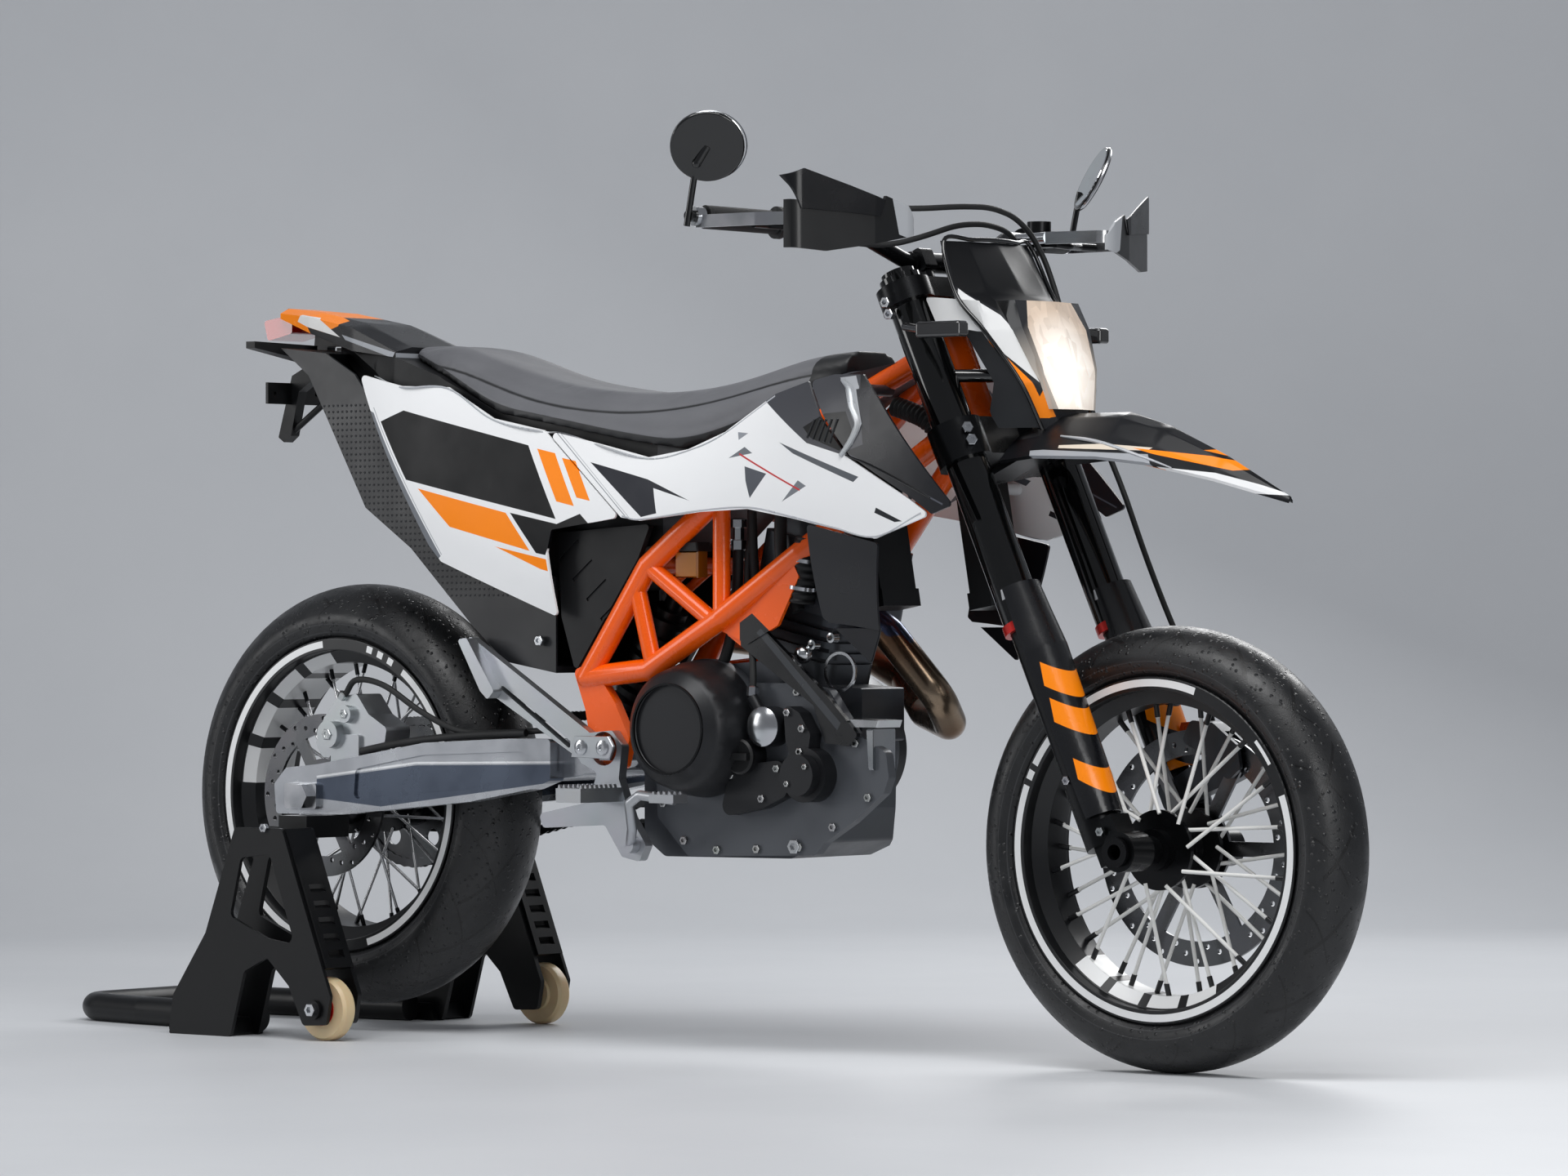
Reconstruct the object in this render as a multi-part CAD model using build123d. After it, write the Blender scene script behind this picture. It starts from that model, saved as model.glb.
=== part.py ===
"""Supermoto motorcycle with laced wire wheels, standing on a rear paddock stand.

While modelling, x runs forwards from the rear axle, y to the rider's left and z up from the
floor, in millimetres.  At the end everything moves back along x, so that the part's origin is
on the floor below the middle of its overall length.
"""
from build123d import *
import os
from math import atan2, cos, hypot, pi, radians, sin, tan

# ---------------------------------------------------------------- driving dimensions
WHEELBASE = 1470.0
STAND_LIFT = 37.0            # how far the paddock stand raises the rear tyre
RAKE = 24.4                  # steering axis back from vertical, on the stand

FRONT_TYRE_R, FRONT_TYRE_W = 300.0, 120.0      # 120/70-17
REAR_TYRE_R, REAR_TYRE_W = 312.0, 160.0        # 160/60-17
BEAD_R = 218.0               # 17 inch bead seat
FLANGE_R = 232.0             # rim edge
FRONT_RIM_W, REAR_RIM_W = 104.0, 142.0         # over the rim flanges
TYRE_WALL = 9.0

FRONT_AXLE_R, REAR_AXLE_R = 14.0, 12.5
AXLE_BORE_R = 10.5           # the front axle is a tube
RUN_FIT = 0.05               # radial clearance of a hub on its axle

FORK_SPACING = 210.0         # between the fork leg axes
FORK_TUBE_R, FORK_LEG_R = 29.0, 24.0
AXLE_LEAD = 30.0             # axle ahead of the fork legs' axis
CLAMP_OFFSET = 32.0          # fork legs ahead of the steering axis
HEAD_TUBE_R = 30.0
STEM_R = 14.0

FRONT_DISC_R, REAR_DISC_R = 160.0, 120.0
DISC_T = 5.0

SWINGARM_INNER, SWINGARM_OUTER = 108.0, 138.0  # each arm's two faces, from the middle
PIVOT_X, PIVOT_Z = 584.0, 426.0                # swingarm pivot
FRAME_HALF = 120.0           # frame tubes from the middle
FRAME_TUBE_R, FRAME_BRACE_R = 16.0, 12.5

CHAIN_PITCH = 15.875
REAR_TEETH, FRONT_TEETH = 42, 16
CHAIN_Y = 98.0               # chain line, left of the middle
SPROCKET_T = 5.4
REAR_HUB_HALF = CHAIN_Y - SPROCKET_T / 2       # the sprocket is bolted to the hub's end

BAR_HALF = 405.0             # handlebar, centre to end
BAR_R, GRIP_R = 11.0, 16.0

PANEL_T = 4.0                # moulded body panels
STAND_HALF = 235.0           # paddock stand rollers from the middle
ROLLER_R, ROLLER_W = 46.0, 26.0
STAND_TUBE_R = 21.0
HANDLE_X = -480.0            # axis of the stand's cross handle

# ---------------------------------------------------------------- derived places
REAR_AXLE_Z = REAR_TYRE_R + STAND_LIFT
FRONT_AXLE = (WHEELBASE, 0, FRONT_TYRE_R)
REAR_AXLE = (0, 0, REAR_AXLE_Z)
X_FRONT = WHEELBASE + FRONT_TYRE_R
X_REAR = HANDLE_X - STAND_TUBE_R
X_MID = (X_FRONT + X_REAR) / 2

# u forwards across the fork, v to the left, w up along it, from the front axle
_s, _c = sin(radians(RAKE)), cos(radians(RAKE))
FORK = Plane(origin=FRONT_AXLE, x_dir=(_c, 0, _s), z_dir=(-_s, 0, _c))
LEG_U = -AXLE_LEAD
STEER_U = LEG_U - CLAMP_OFFSET
LOWER_CLAMP = (585.0, 640.0)         # lower triple clamp, along w
UPPER_CLAMP = (822.0, 852.0)


def fork_point(u, v, w):
    """A place given across and along the fork, as x, y, z."""
    return (WHEELBASE + u * _c - w * _s, v, FRONT_TYRE_R + u * _s + w * _c)


# ---------------------------------------------------------------- small helpers
UP = (Align.CENTER, Align.CENTER, Align.MIN)         # stands on its base


def largest(shape):
    """The biggest solid of a shape, without the loose chips that a cut may leave."""
    return max(shape.solids(), key=lambda piece: piece.volume)


def together(*shapes):
    """Several shapes as one named piece."""
    return Compound([piece for shape in shapes for piece in shape.solids()])


def rod(start, end, radius):
    """Round bar between two points."""
    axis = Vector(*end) - Vector(*start)
    return extrude(Plane(origin=start, z_dir=axis) * Circle(radius), amount=axis.length)


def pipe(points, radius, bend, wall=0.0):
    """Round tube bent along a route, solid unless it has a wall."""
    path = FilletPolyline(*points, radius=bend) if len(points) > 2 else Line(*points)
    section = Circle(radius) - Circle(radius - wall) if wall else Circle(radius)
    return sweep(Plane(origin=path @ 0, z_dir=path % 0) * section, path=path)


def outline(points, radius=0.0):
    """Closed flat shape with all its corners rounded alike."""
    face = make_face(Polyline(*points, close=True))
    return fillet(face.vertices(), radius) if radius else face


def slab(sketch, y_low, y_high):
    """A side-view sketch in x and z, given thickness from y_low to y_high."""
    plane = Plane(origin=(0, y_high, 0), x_dir=(1, 0, 0), z_dir=(0, -1, 0))
    return extrude(plane * sketch, amount=y_high - y_low)


def station(x):
    """Plane across the motorcycle at x, with y to the left and z up."""
    return Plane(origin=(x, 0, 0), x_dir=(0, 1, 0), z_dir=(1, 0, 0))


def mirrored(shape):
    """The same piece on the other side."""
    return mirror(shape, about=Plane.XZ)


def pair(shape):
    """A piece and its opposite number, as separate solids."""
    return together(shape, mirrored(shape))


def across(x, z, radius, y_low, y_high):
    """Cylinder with its axis across the motorcycle."""
    return slab(Pos(x, z) * Circle(radius), y_low, y_high)


def turned(profile):
    """Ring turned about the y axis; the profile is radius and y."""
    return revolve(make_face(profile), Axis.Y)


def skin(stations, thickness):
    """Curved wall: at each x a curve of (y, z) points, thickened towards the middle."""
    faces = []
    for x, points in stations:
        outer = Spline(*points)
        inner = Spline(*[(y - thickness, z) for y, z in points])
        ends = [Line(outer @ 1, inner @ 1), Line(inner @ 0, outer @ 0)]
        faces.append(station(x) * make_face(outer + ends + inner))
    return loft(faces)


# ---------------------------------------------------------------- wheels
def tyre_wall(radius, width, rim_width, inset):
    """Section through one face of a tyre: round crown, bulging sidewalls, straight beads."""
    crown = (radius - width * 0.13 - inset, width * 0.36 - inset * 0.8)
    widest = ((radius + BEAD_R) / 2 + 4, width * 0.478 - inset)
    lip = (FLANGE_R + 1, rim_width / 2 - 5.6 - inset)
    foot = (BEAD_R + 0.3, rim_width / 2 - 7.6 - inset)
    over = ThreePointArc((crown[0], -crown[1]), (radius - inset, 0), crown)
    upper = TangentArc(crown, widest, tangent=over % 1)
    lower = TangentArc(widest, lip, tangent=upper % 1)
    side = [upper, lower, Line(lip, foot)]
    return [over, *side, *[mirror(edge, about=Plane.XZ) for edge in side]], foot


def tyre(radius, width, rim_width):
    """Hollow tyre whose beads sit inside the rim's flanges."""
    outer, foot = tyre_wall(radius, width, rim_width, 0)
    inner, heel = tyre_wall(radius, width, rim_width, TYRE_WALL)
    feet = [Line((foot[0], s * foot[1]), (heel[0], s * heel[1])) for s in (-1, 1)]
    return turned([*outer, *inner, *feet])


def rim(width, well_r=200.0, wall=4.0):
    """Deep-well alloy rim with upright flanges."""
    half = width / 2
    side = [(FLANGE_R, half), (FLANGE_R, half - 5), (BEAD_R, half - 7), (BEAD_R, half - 20),
            (well_r, half - 33)]
    under = [(well_r - wall, half - 31), (BEAD_R - wall, half - 18), (BEAD_R - wall, half)]
    loop = [*side, *[(r, -y) for r, y in reversed(side)],
            *[(r, -y) for r, y in under[::-1]], *under]
    return revolve(outline(loop, 1.5), Axis.Y)


def hub(barrel_r, flange_r, flange_y, half_width, bore_r, disc_side, carrier_r):
    """Hub with two spoke flanges, a waisted barrel and a stepped brake disc seat."""
    t = 3.5
    s = disc_side
    upper = [(bore_r, half_width), (barrel_r + 4, half_width), (barrel_r + 4, flange_y + t),
             (flange_r, flange_y + t), (flange_r, flange_y - t), (barrel_r + 6, flange_y - t - 5),
             (barrel_r, flange_y - t - 16)]
    loop = [*upper, *[(r, -y) for r, y in reversed(upper)]]
    body = revolve(outline(loop), Axis.Y)
    seat_low, seat_high = sorted((s * (flange_y + t), s * half_width))
    seat = make_face(Polyline((bore_r, seat_low), (carrier_r, seat_low), (carrier_r, seat_high),
                              (bore_r, seat_high), close=True))
    return body + revolve(seat, Axis.Y)


def laced_spokes(wheel_rim, wheel_hub, hub_r, flange_y, rim_r, radius):
    """36 spokes in nine V pairs a side, crossing their neighbours outside and inside."""
    spokes = []
    for side in (-1, 1):
        for lean in (-1, 1):
            centre = 0 if side < 0 else 10
            a, b = radians(centre + lean * 6), radians(centre + lean * 30)
            y_hub = side * (flange_y + lean * 4.6)
            y_rim = side * (9 + lean * 2.6)
            start = (hub_r * cos(a), y_hub, hub_r * sin(a))
            end = (rim_r * cos(b), y_rim, rim_r * sin(b))
            back = Vector(*end) + (Vector(*start) - Vector(*end)).normalized() * 20
            one = rod(start, end, radius) + rod(tuple(back), end, radius + 1)
            one = one - wheel_rim - wheel_hub
            one = largest(one)
            spokes += [Rot(0, 40 * turn, 0) * one for turn in range(9)]
    return Compound(spokes)


def brake_disc(radius, band, y, bolt_r, bolts, holes):
    """Floating disc: drilled braking band, carrier ring and arms between the bobbins."""
    t = DISC_T
    ring = across(0, 0, radius, y - t / 2, y + t / 2)
    ring -= across(0, 0, radius - band, y - t, y + t)
    drill = across(0, 0, 3.6, y - t, y + t)
    rows = [radius - band * share for share in (0.22, 0.5, 0.78)]
    drills = []
    for n in range(holes):
        r = rows[n % 3]
        drills.append(Rot(0, 360 / holes * n, 0) * (Pos(r, 0, 0) * drill))
    ring -= drills
    arm_out = radius - band + 4
    arm = slab(Pos((bolt_r + arm_out) / 2, 0) * Rectangle(arm_out - bolt_r + 16, 20),
               y - t / 2, y + t / 2)
    inner = across(0, 0, bolt_r + 8, y - t / 2, y + t / 2)
    carrier = inner
    for n in range(bolts):
        carrier += Rot(0, 360 / bolts * n, 0) * arm
    return ring + carrier


def front_wheel():
    """Front tyre, rim, hub, spokes and the single brake disc on the left."""
    at = Pos(*FRONT_AXLE)
    r = rim(FRONT_RIM_W)
    flange_y = 34.0
    h = hub(24, 54, flange_y, 52, FRONT_AXLE_R + RUN_FIT, 1, 40)
    disc = brake_disc(FRONT_DISC_R, 34, 52 + DISC_T / 2, 46, 6, 48)
    disc -= across(0, 0, 30, 0, 80)
    return {
        "front_tyre": at * tyre(FRONT_TYRE_R, FRONT_TYRE_W, FRONT_RIM_W),
        "front_rim": at * r,
        "front_hub": at * h,
        "front_spokes": at * laced_spokes(r, h, 49, flange_y, 199, 2.7),
        "front_brake_disc": at * disc,
    }


def sprocket(teeth, y, thickness, bore):
    """Sprocket with round tooth gaps, lightening holes and a bolted rim."""
    pitch_r = CHAIN_PITCH / (2 * sin(pi / teeth))
    roller_r = 5.08
    blank = Circle(pitch_r + 3.6) - Circle(bore)
    gaps = [Pos((pitch_r + 0.4) * cos(2 * pi * n / teeth), (pitch_r + 0.4) * sin(2 * pi * n / teeth))
            * Circle(roller_r + 0.2) for n in range(teeth)]
    holes = [Pos(77 * cos(2 * pi * n / 6), 77 * sin(2 * pi * n / 6)) * Circle(13) for n in range(6)]
    return slab(blank - gaps - holes, y - thickness / 2, y + thickness / 2)


def rear_wheel():
    """Rear tyre, rim, hub, spokes, brake disc on the right and sprocket on the left."""
    at = Pos(*REAR_AXLE)
    r = rim(REAR_RIM_W)
    flange_y, half = 42.0, REAR_HUB_HALF
    h = hub(26, 58, flange_y, half, REAR_AXLE_R + RUN_FIT, -1, 44)
    h += across(0, 0, 50, flange_y, half) - across(0, 0, REAR_AXLE_R + RUN_FIT, flange_y - 1, half + 1)
    disc = brake_disc(REAR_DISC_R, 30, -(half + DISC_T / 2), 46, 6, 36)
    disc -= across(0, 0, 30, -120, 0)
    return {
        "rear_tyre": at * tyre(REAR_TYRE_R, REAR_TYRE_W, REAR_RIM_W),
        "rear_rim": at * r,
        "rear_hub": at * h,
        "rear_spokes": at * laced_spokes(r, h, 53, flange_y, 199, 2.2),
        "rear_brake_disc": at * disc,
        "rear_sprocket": at * sprocket(REAR_TEETH, CHAIN_Y, SPROCKET_T, 30),
    }


# ---------------------------------------------------------------- fork and steering
def on_fork(shape):
    """Moves a piece modelled in u, v, w onto the motorcycle."""
    return FORK.location * shape


def fork():
    """Upside-down fork: outer tubes above, slim legs with forged axle feet below."""
    v = FORK_SPACING / 2
    tubes, legs = [], []
    for side in (-1, 1):
        outer = Pos(LEG_U, side * v, 350) * Cylinder(FORK_TUBE_R, 514, align=UP)
        outer -= Pos(LEG_U, side * v, 340) * Cylinder(FORK_LEG_R + 0.3, 200, align=UP)
        cap = Pos(LEG_U, side * v, 864) * Cylinder(24, 8, align=UP)
        tubes.append(outer + cap)
        leg = Pos(LEG_U, side * v, 40) * Cylinder(FORK_LEG_R, 480, align=UP)
        foot = Pos(LEG_U, side * v, 20) * Cylinder(27, 90, align=UP)
        boss = Pos(0, side * v, 0) * Rot(90, 0, 0) * Cylinder(27, 46)
        web = Pos(-14, side * v, 22) * Box(44, 40, 60)
        leg = leg + foot + web + boss
        leg -= Pos(0, side * v, 0) * Rot(90, 0, 0) * Cylinder(FRONT_AXLE_R + 0.02, 80)
        legs.append(leg)
    return Compound([on_fork(t) for t in tubes]), Compound([on_fork(leg) for leg in legs])


def triple_clamps():
    """Lower clamp with its stem, and upper clamp with the bar risers."""
    v = FORK_SPACING / 2
    made = []
    for low, high in (LOWER_CLAMP, UPPER_CLAMP):
        bridge = outline([(LEG_U + 34, -v), (LEG_U + 34, v), (LEG_U - 30, v), (STEER_U - 34, 34),
                          (STEER_U - 34, -34), (LEG_U - 30, -v)], 10)
        body = extrude(Pos(0, 0, low) * bridge, amount=high - low)
        for side in (-1, 1):
            body += Pos(LEG_U, side * v, low) * Cylinder(38, high - low, align=UP)
            body += Pos(LEG_U - 34, side * (v - 8), (low + high) / 2) * Box(20, 22, high - low - 6)
        for side in (-1, 1):
            body -= Pos(LEG_U, side * v, low - 5) * Cylinder(FORK_TUBE_R, high - low + 10, align=UP)
            body -= Pos(LEG_U - 40, side * v, (low + high) / 2) * Box(30, 3, high - low + 4)
        made.append(body)
    stem = Pos(STEER_U, 0, LOWER_CLAMP[1] - 5) * Cylinder(
        STEM_R, UPPER_CLAMP[0] - LOWER_CLAMP[1] + 5, align=UP)
    made[0] += stem
    for side in (-1, 1):
        made[1] += Pos(-28, side * 52, 849) * Cylinder(15, 26, align=UP)
        block = Pos(-28, side * 52, 872) * Box(40, 26, 32, align=UP)
        made[1] += fillet(block.edges().filter_by(Axis.Y), 6)
    return Compound([on_fork(b) for b in made])


BAR_CENTRE = fork_point(-28, 0, 890)
BAR_BEND = (BAR_CENTRE[0] - 22, 175.0, BAR_CENTRE[2] + 42)
BAR_END = (BAR_CENTRE[0] - 92, BAR_HALF, BAR_CENTRE[2] + 50)


def bar_route(side):
    """Handlebar's line on one side, from the middle to its end."""
    x, y, z = BAR_CENTRE
    return [(x, 0, z), (x, side * 78, z), (BAR_BEND[0], side * BAR_BEND[1], BAR_BEND[2]),
            (BAR_END[0], side * BAR_END[1], BAR_END[2])]


def along_bar(side, distance):
    """Point on the straight grip part, a distance in from the bar's end."""
    a = Vector(BAR_END[0], side * BAR_END[1], BAR_END[2])
    b = Vector(BAR_BEND[0], side * BAR_BEND[1], BAR_BEND[2])
    return a + (b - a).normalized() * distance


def handlebar():
    """Tapered handlebar, and the two grips that are pushed onto it."""
    bar = pipe([*reversed(bar_route(-1)[1:]), *bar_route(1)[1:]], BAR_R, 50)
    middle = rod((BAR_CENTRE[0], -70, BAR_CENTRE[2]), (BAR_CENTRE[0], 70, BAR_CENTRE[2]), 14.3)
    bar = bar + middle
    grips = []
    for side in (-1, 1):
        body = rod(along_bar(side, 4), along_bar(side, 118), GRIP_R)
        collar = rod(along_bar(side, 118), along_bar(side, 126), GRIP_R + 6)
        grips.append((body + collar) - bar)
    return bar, together(*grips)


def hand_levers(bar):
    """Brake and clutch controls: a clamp and reservoir on the bar, and a curved lever."""
    made = []
    for side in (-1, 1):
        perch_in, perch_out = along_bar(side, 168), along_bar(side, 146)
        perch = rod(perch_in, perch_out, 18)
        x, y, z = along_bar(side, 157)
        perch += Pos(x + 26, y, z - 2) * Box(48, 24, 18)
        perch += Pos(x + 34, y - side * 14, z + 10) * Cylinder(17, 30)
        tip = along_bar(side, 22)
        start = Vector(x + 46, y + side * 6, z - 6)
        lever = pipe([start, (start.X + 6, start.Y + side * 28, z - 8),
                      (tip.X + 62, tip.Y - side * 34, tip.Z - 10), (tip.X + 66, tip.Y, tip.Z - 10)], 5.5, 16)
        made.append(perch + lever - bar)
    return Compound([largest(m) for m in made])


STRAP_T, SHIELD_T = 6.0, 4.4         # hand guard's alloy strap and plastic shield


def hand_guards(bar):
    """Bent alloy strap from the bar's end round to the inner clamp, with a faceted shell
    over its front and a clear deflector standing above that."""
    made = []
    for side in (-1, 1):
        end, inner = along_bar(side, 0), along_bar(side, 216)
        x, z, h = end.X, end.Z, BAR_HALF
        path = [(x - 2, side * (h + 9)), (x + 100, side * (h + 6)), (x + 150, side * (h - 12)),
                (x + 196, side * (h - 120)), (x + 215, side * (h - 185)), (inner.X + 62, inner.Y)]
        line = FilletPolyline(*path, radius=16)
        strap = make_face(offset(line, amount=STRAP_T / 2, side=Side.BOTH))
        strap = extrude(Pos(0, 0, z - 15) * strap, amount=17)
        strap += rod(tuple(inner), (inner.X + 62, inner.Y, z - 6), 8)
        strap += rod(tuple(end), tuple(end + (end - inner).normalized() * 14), 13)
        strap -= bar
        inside = make_face(Polyline((x - 40, 0), *path, (inner.X, 0), close=True))
        shell = guard_band(line, inside, STRAP_T / 2 + 0.2, SHIELD_T)
        shell &= guard_front(side, x, [(401, 18), (325, 9), (280, 2), (270, 26), (235, 14), (219, -4),
                                       (219, -25), (300, -41), (355, -50), (401, -46)], z)
        clear = guard_band(line, inside, STRAP_T / 2 + SHIELD_T + 0.4, 2.4)
        clear &= guard_front(side, x, [(407, 50), (388, 59), (324, 38), (273, 20), (281, -2), (325, 2),
                                       (392, 6)], z)
        made += [strap, largest(shell), largest(clear)]
    return together(*made)


def guard_band(line, inside, gap, thickness):
    """Tall band outside a guard's strap, a gap away from its middle line."""
    band = make_face(offset(line, amount=gap + thickness, side=Side.BOTH))
    band -= make_face(offset(line, amount=gap, side=Side.BOTH))
    return extrude(Pos(0, 0, 1000) * (band - inside), amount=400)


def guard_front(side, x, points, z):
    """Outline seen from ahead, in |y| and height above z, run through the guard's front."""
    face = make_face(Polyline(*[(side * y, z + up) for y, up in points], close=True))
    return extrude(station(x + 90) * face, amount=160)


def mirrors(guards):
    """Round bar-end mirrors on short stalks."""
    made = []
    for side in (-1, 1):
        end = along_bar(side, -14.3)
        base = end + Vector(0, side * 10, 0)
        top = Vector(end.X + 16, side * (BAR_HALF + 25), end.Z + 74)
        centre = Vector(end.X + 36, side * (BAR_HALF + 27), end.Z + 92)
        normal = Vector(-0.57, -side * 0.69, 0.44).normalized()
        foot = base - (top - base).normalized() * 14
        stalk = rod(tuple(end), tuple(base), 8) + rod(tuple(foot), tuple(top), 4.5)
        stalk += rod(tuple(top - normal * 12), tuple(centre - normal * 2), 6)
        stalk += Pos(*(top - normal * 12)) * Sphere(6.5)
        head = Plane(origin=tuple(centre - normal * 6), z_dir=tuple(normal))
        glass = extrude(head * Circle(50), amount=9)
        glass = fillet(glass.edges(), 3)
        made.append(largest(stalk + glass - guards))
    return Compound(made)


MASK = [                     # height, then x and half width of the edge, and x of the ridge
    (1124, 1157, 98, 1172), (1050, 1188, 112, 1222), (1000, 1234, 110, 1268),
    (930, 1276, 84, 1303), (866, 1288, 50, 1311),
]


def headlight_mask():
    """Number-board mask: a peaked shield that carries the headlight, with side cheeks."""
    faces = []
    for z, x, half, ridge in MASK:
        shoulder = x + (ridge - x) * 0.66
        outer = [(x - 4, -half), (shoulder, -half * 0.6), (ridge, 0), (shoulder, half * 0.6), (x - 4, half)]
        inner = [(px - 5, py * 0.97) for px, py in reversed(outer)]
        faces.append(make_face(Polyline(*[(px, py, z) for px, py in outer + inner], close=True)))
    cheek = slab(outline([(1132, 1048), (1152, 1010), (1236, 996), (1220, 1040)], 3), 101, 108)
    return loft(faces, ruled=True) + pair(cheek)


LENS_ROWS = [(893, 1304, 46), (950, 1292, 66), (1004, 1272, 77), (1041, 1256, 72)]


def headlight(fork_tubes):
    """Headlamp unit: a faceted lens over a deep housing, carried by arms from the fork."""
    faces = []
    for z, x, half in LENS_ROWS:
        faces.append(make_face(Polyline((x - 60, -half * 0.8, z), (x + 2, -half, z), (x + 14, 0, z),
                                        (x + 2, half, z), (x - 60, half * 0.8, z), close=True)))
    unit = loft(faces, ruled=True)
    for side in (-1, 1):
        x, _, z = fork_point(LEG_U, 0, 716)
        arm = rod((x + 100, side * 44, z), (x + 8, side * 100, z), 9) - fork_tubes
        unit += largest(arm)
    return unit


def front_fender():
    """High beak fender with a raised spine, side steps and a pointed nose."""
    rows = [(1238, 858, 82, 8), (1300, 868, 92, 20), (1400, 862, 84, 26),
            (1467, 846, 66, 22), (1560, 812, 38, 14), (1660, 768, 5, 3)]
    faces = []
    for x, z, half, rise in rows:
        drop = half * 0.42
        outer = [(-half, z - drop), (-half * 0.62, z - drop * 0.25), (-half * 0.3, z + rise * 0.7)]
        outer += [(0, z + rise), *[(-y, up) for y, up in reversed(outer)]]
        inner = [(y * 0.96, zz - 4) for y, zz in outer]
        faces.append(station(x) * make_face(Polyline(*outer, *reversed(inner), close=True)))
    low = LOWER_CLAMP[0] - 0.3
    tongue = Pos(-12, 0, low - 4) * Box(104, 60, 8) + Pos(28, 0, low + 12) * Box(24, 60, 40)
    return loft(faces, ruled=True) + on_fork(tongue)


def fork_guards():
    """Moulded guards wrapped round the front of the slim fork legs."""
    v, made = FORK_SPACING / 2, []
    for side in (-1, 1):
        rows = [(58, 34), (110, 37), (300, 41), (350, 37), (395, 34)]
        faces = []
        for w, r in rows:
            back, edge = r * 0.2, side * (r - 3)
            arc = ThreePointArc((back, side * r), (r + 4, 0), (back, -side * r))
            within = ThreePointArc((back, -edge), (r + 1, 0), (back, edge))
            ring = make_face([arc, Line(arc @ 1, within @ 0), within, Line(within @ 1, arc @ 0)])
            faces.append(Pos(LEG_U, side * v, w) * ring)
        guard = loft(faces, ruled=True)
        for w in (70, 100):
            stay = Pos(15, 0, 0) * Box(46, 14, 10) - Cylinder(FORK_LEG_R + 3.3, 12)
            guard += Pos(LEG_U, side * v, w) * stay
        made.append(guard)
    passage = Pos(*FRONT_AXLE) * on_disc(Pos(24, 88) * Rectangle(110, 60), 40, 99)
    return together(*[on_fork(guard) - passage for guard in made])


def front_axle():
    """Hollow axle through both fork feet and the wheel hub, with spacers at the hub."""
    end = FORK_SPACING / 2 + 26
    axle = across(0, 0, FRONT_AXLE_R, -end, end)
    axle += across(0, 0, 20, -end - 6, -end)
    for side in (-1, 1):
        low, high = sorted((side * 52.6, side * (FORK_SPACING / 2 - 23.2)))
        axle += across(0, 0, 19, low, high)
    return Pos(*FRONT_AXLE) * (axle - across(0, 0, AXLE_BORE_R, -end - 10, end + 10))


def front_caliper(legs):
    """Four-piston caliper round the front of the disc, on lugs from the left fork foot."""
    disc_y = 52 + DISC_T / 2
    body = outline([(44, 138), (70, 158), (102, 140), (126, 96), (118, 66), (92, 58), (80, 96)], 9)
    body = on_disc(body, disc_y - 15, disc_y + 24)
    body -= across(0, 0, FRONT_DISC_R + 6, disc_y - 8, disc_y + 8)
    for u, w in ((88, 126), (108, 90)):
        body += on_disc(Pos(u, w) * Circle(17), disc_y + 24, disc_y + 28)
    lug = on_disc(outline([(-40, 70), (60, 64), (108, 64), (108, 96), (60, 112), (-40, 104)], 8), 70, 96)
    caliper = Pos(*FRONT_AXLE) * (body + lug) - legs
    return largest(caliper)


def on_disc(sketch, y_low, y_high):
    """A sketch in u and w about the front axle, given thickness from y_low to y_high."""
    plane = Plane(origin=(0, y_high, 0), x_dir=(_c, 0, _s), z_dir=(0, -1, 0))
    return extrude(plane * sketch, amount=y_high - y_low)


def front_indicators():
    """Slim indicators on stalks from the fork tubes."""
    made = []
    for side in (-1, 1):
        base = Vector(*fork_point(LEG_U, side * (FORK_SPACING / 2 + FORK_TUBE_R - 2), 790))
        tip = Vector(1168, side * 154, 1000)
        lamp = fillet(Box(76, 24, 22).edges(), 5)
        stalk = rod(tuple(base), tuple(tip), 6)
        tube = Pos(LEG_U, side * FORK_SPACING / 2, 700) * Cylinder(FORK_TUBE_R + 0.2, 200, align=UP)
        stalk -= on_fork(tube)
        made.append(stalk + Pos(1201, side * 160, 1000) * lamp)
    return together(*made)


def bent_line(points):
    """Line through bends, each with the largest arc that its two runs leave room for."""
    points = [Vector(*point) for point in points]
    edges, at = [], points[0]
    for a, b, c in zip(points, points[1:], points[2:]):
        reach = 0.45 * min((a - b).length, (c - b).length)
        start, end = b + (a - b).normalized() * reach, b + (c - b).normalized() * reach
        half_turn = radians(180 - (a - b).get_angle(c - b)) / 2
        print("bend radius", round(reach / tan(half_turn), 1))
        edges += [Line(at, start), TangentArc(start, end, tangent=b - start)]
        at = end
    return Wire([*edges, Line(at, points[-1])])


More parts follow.
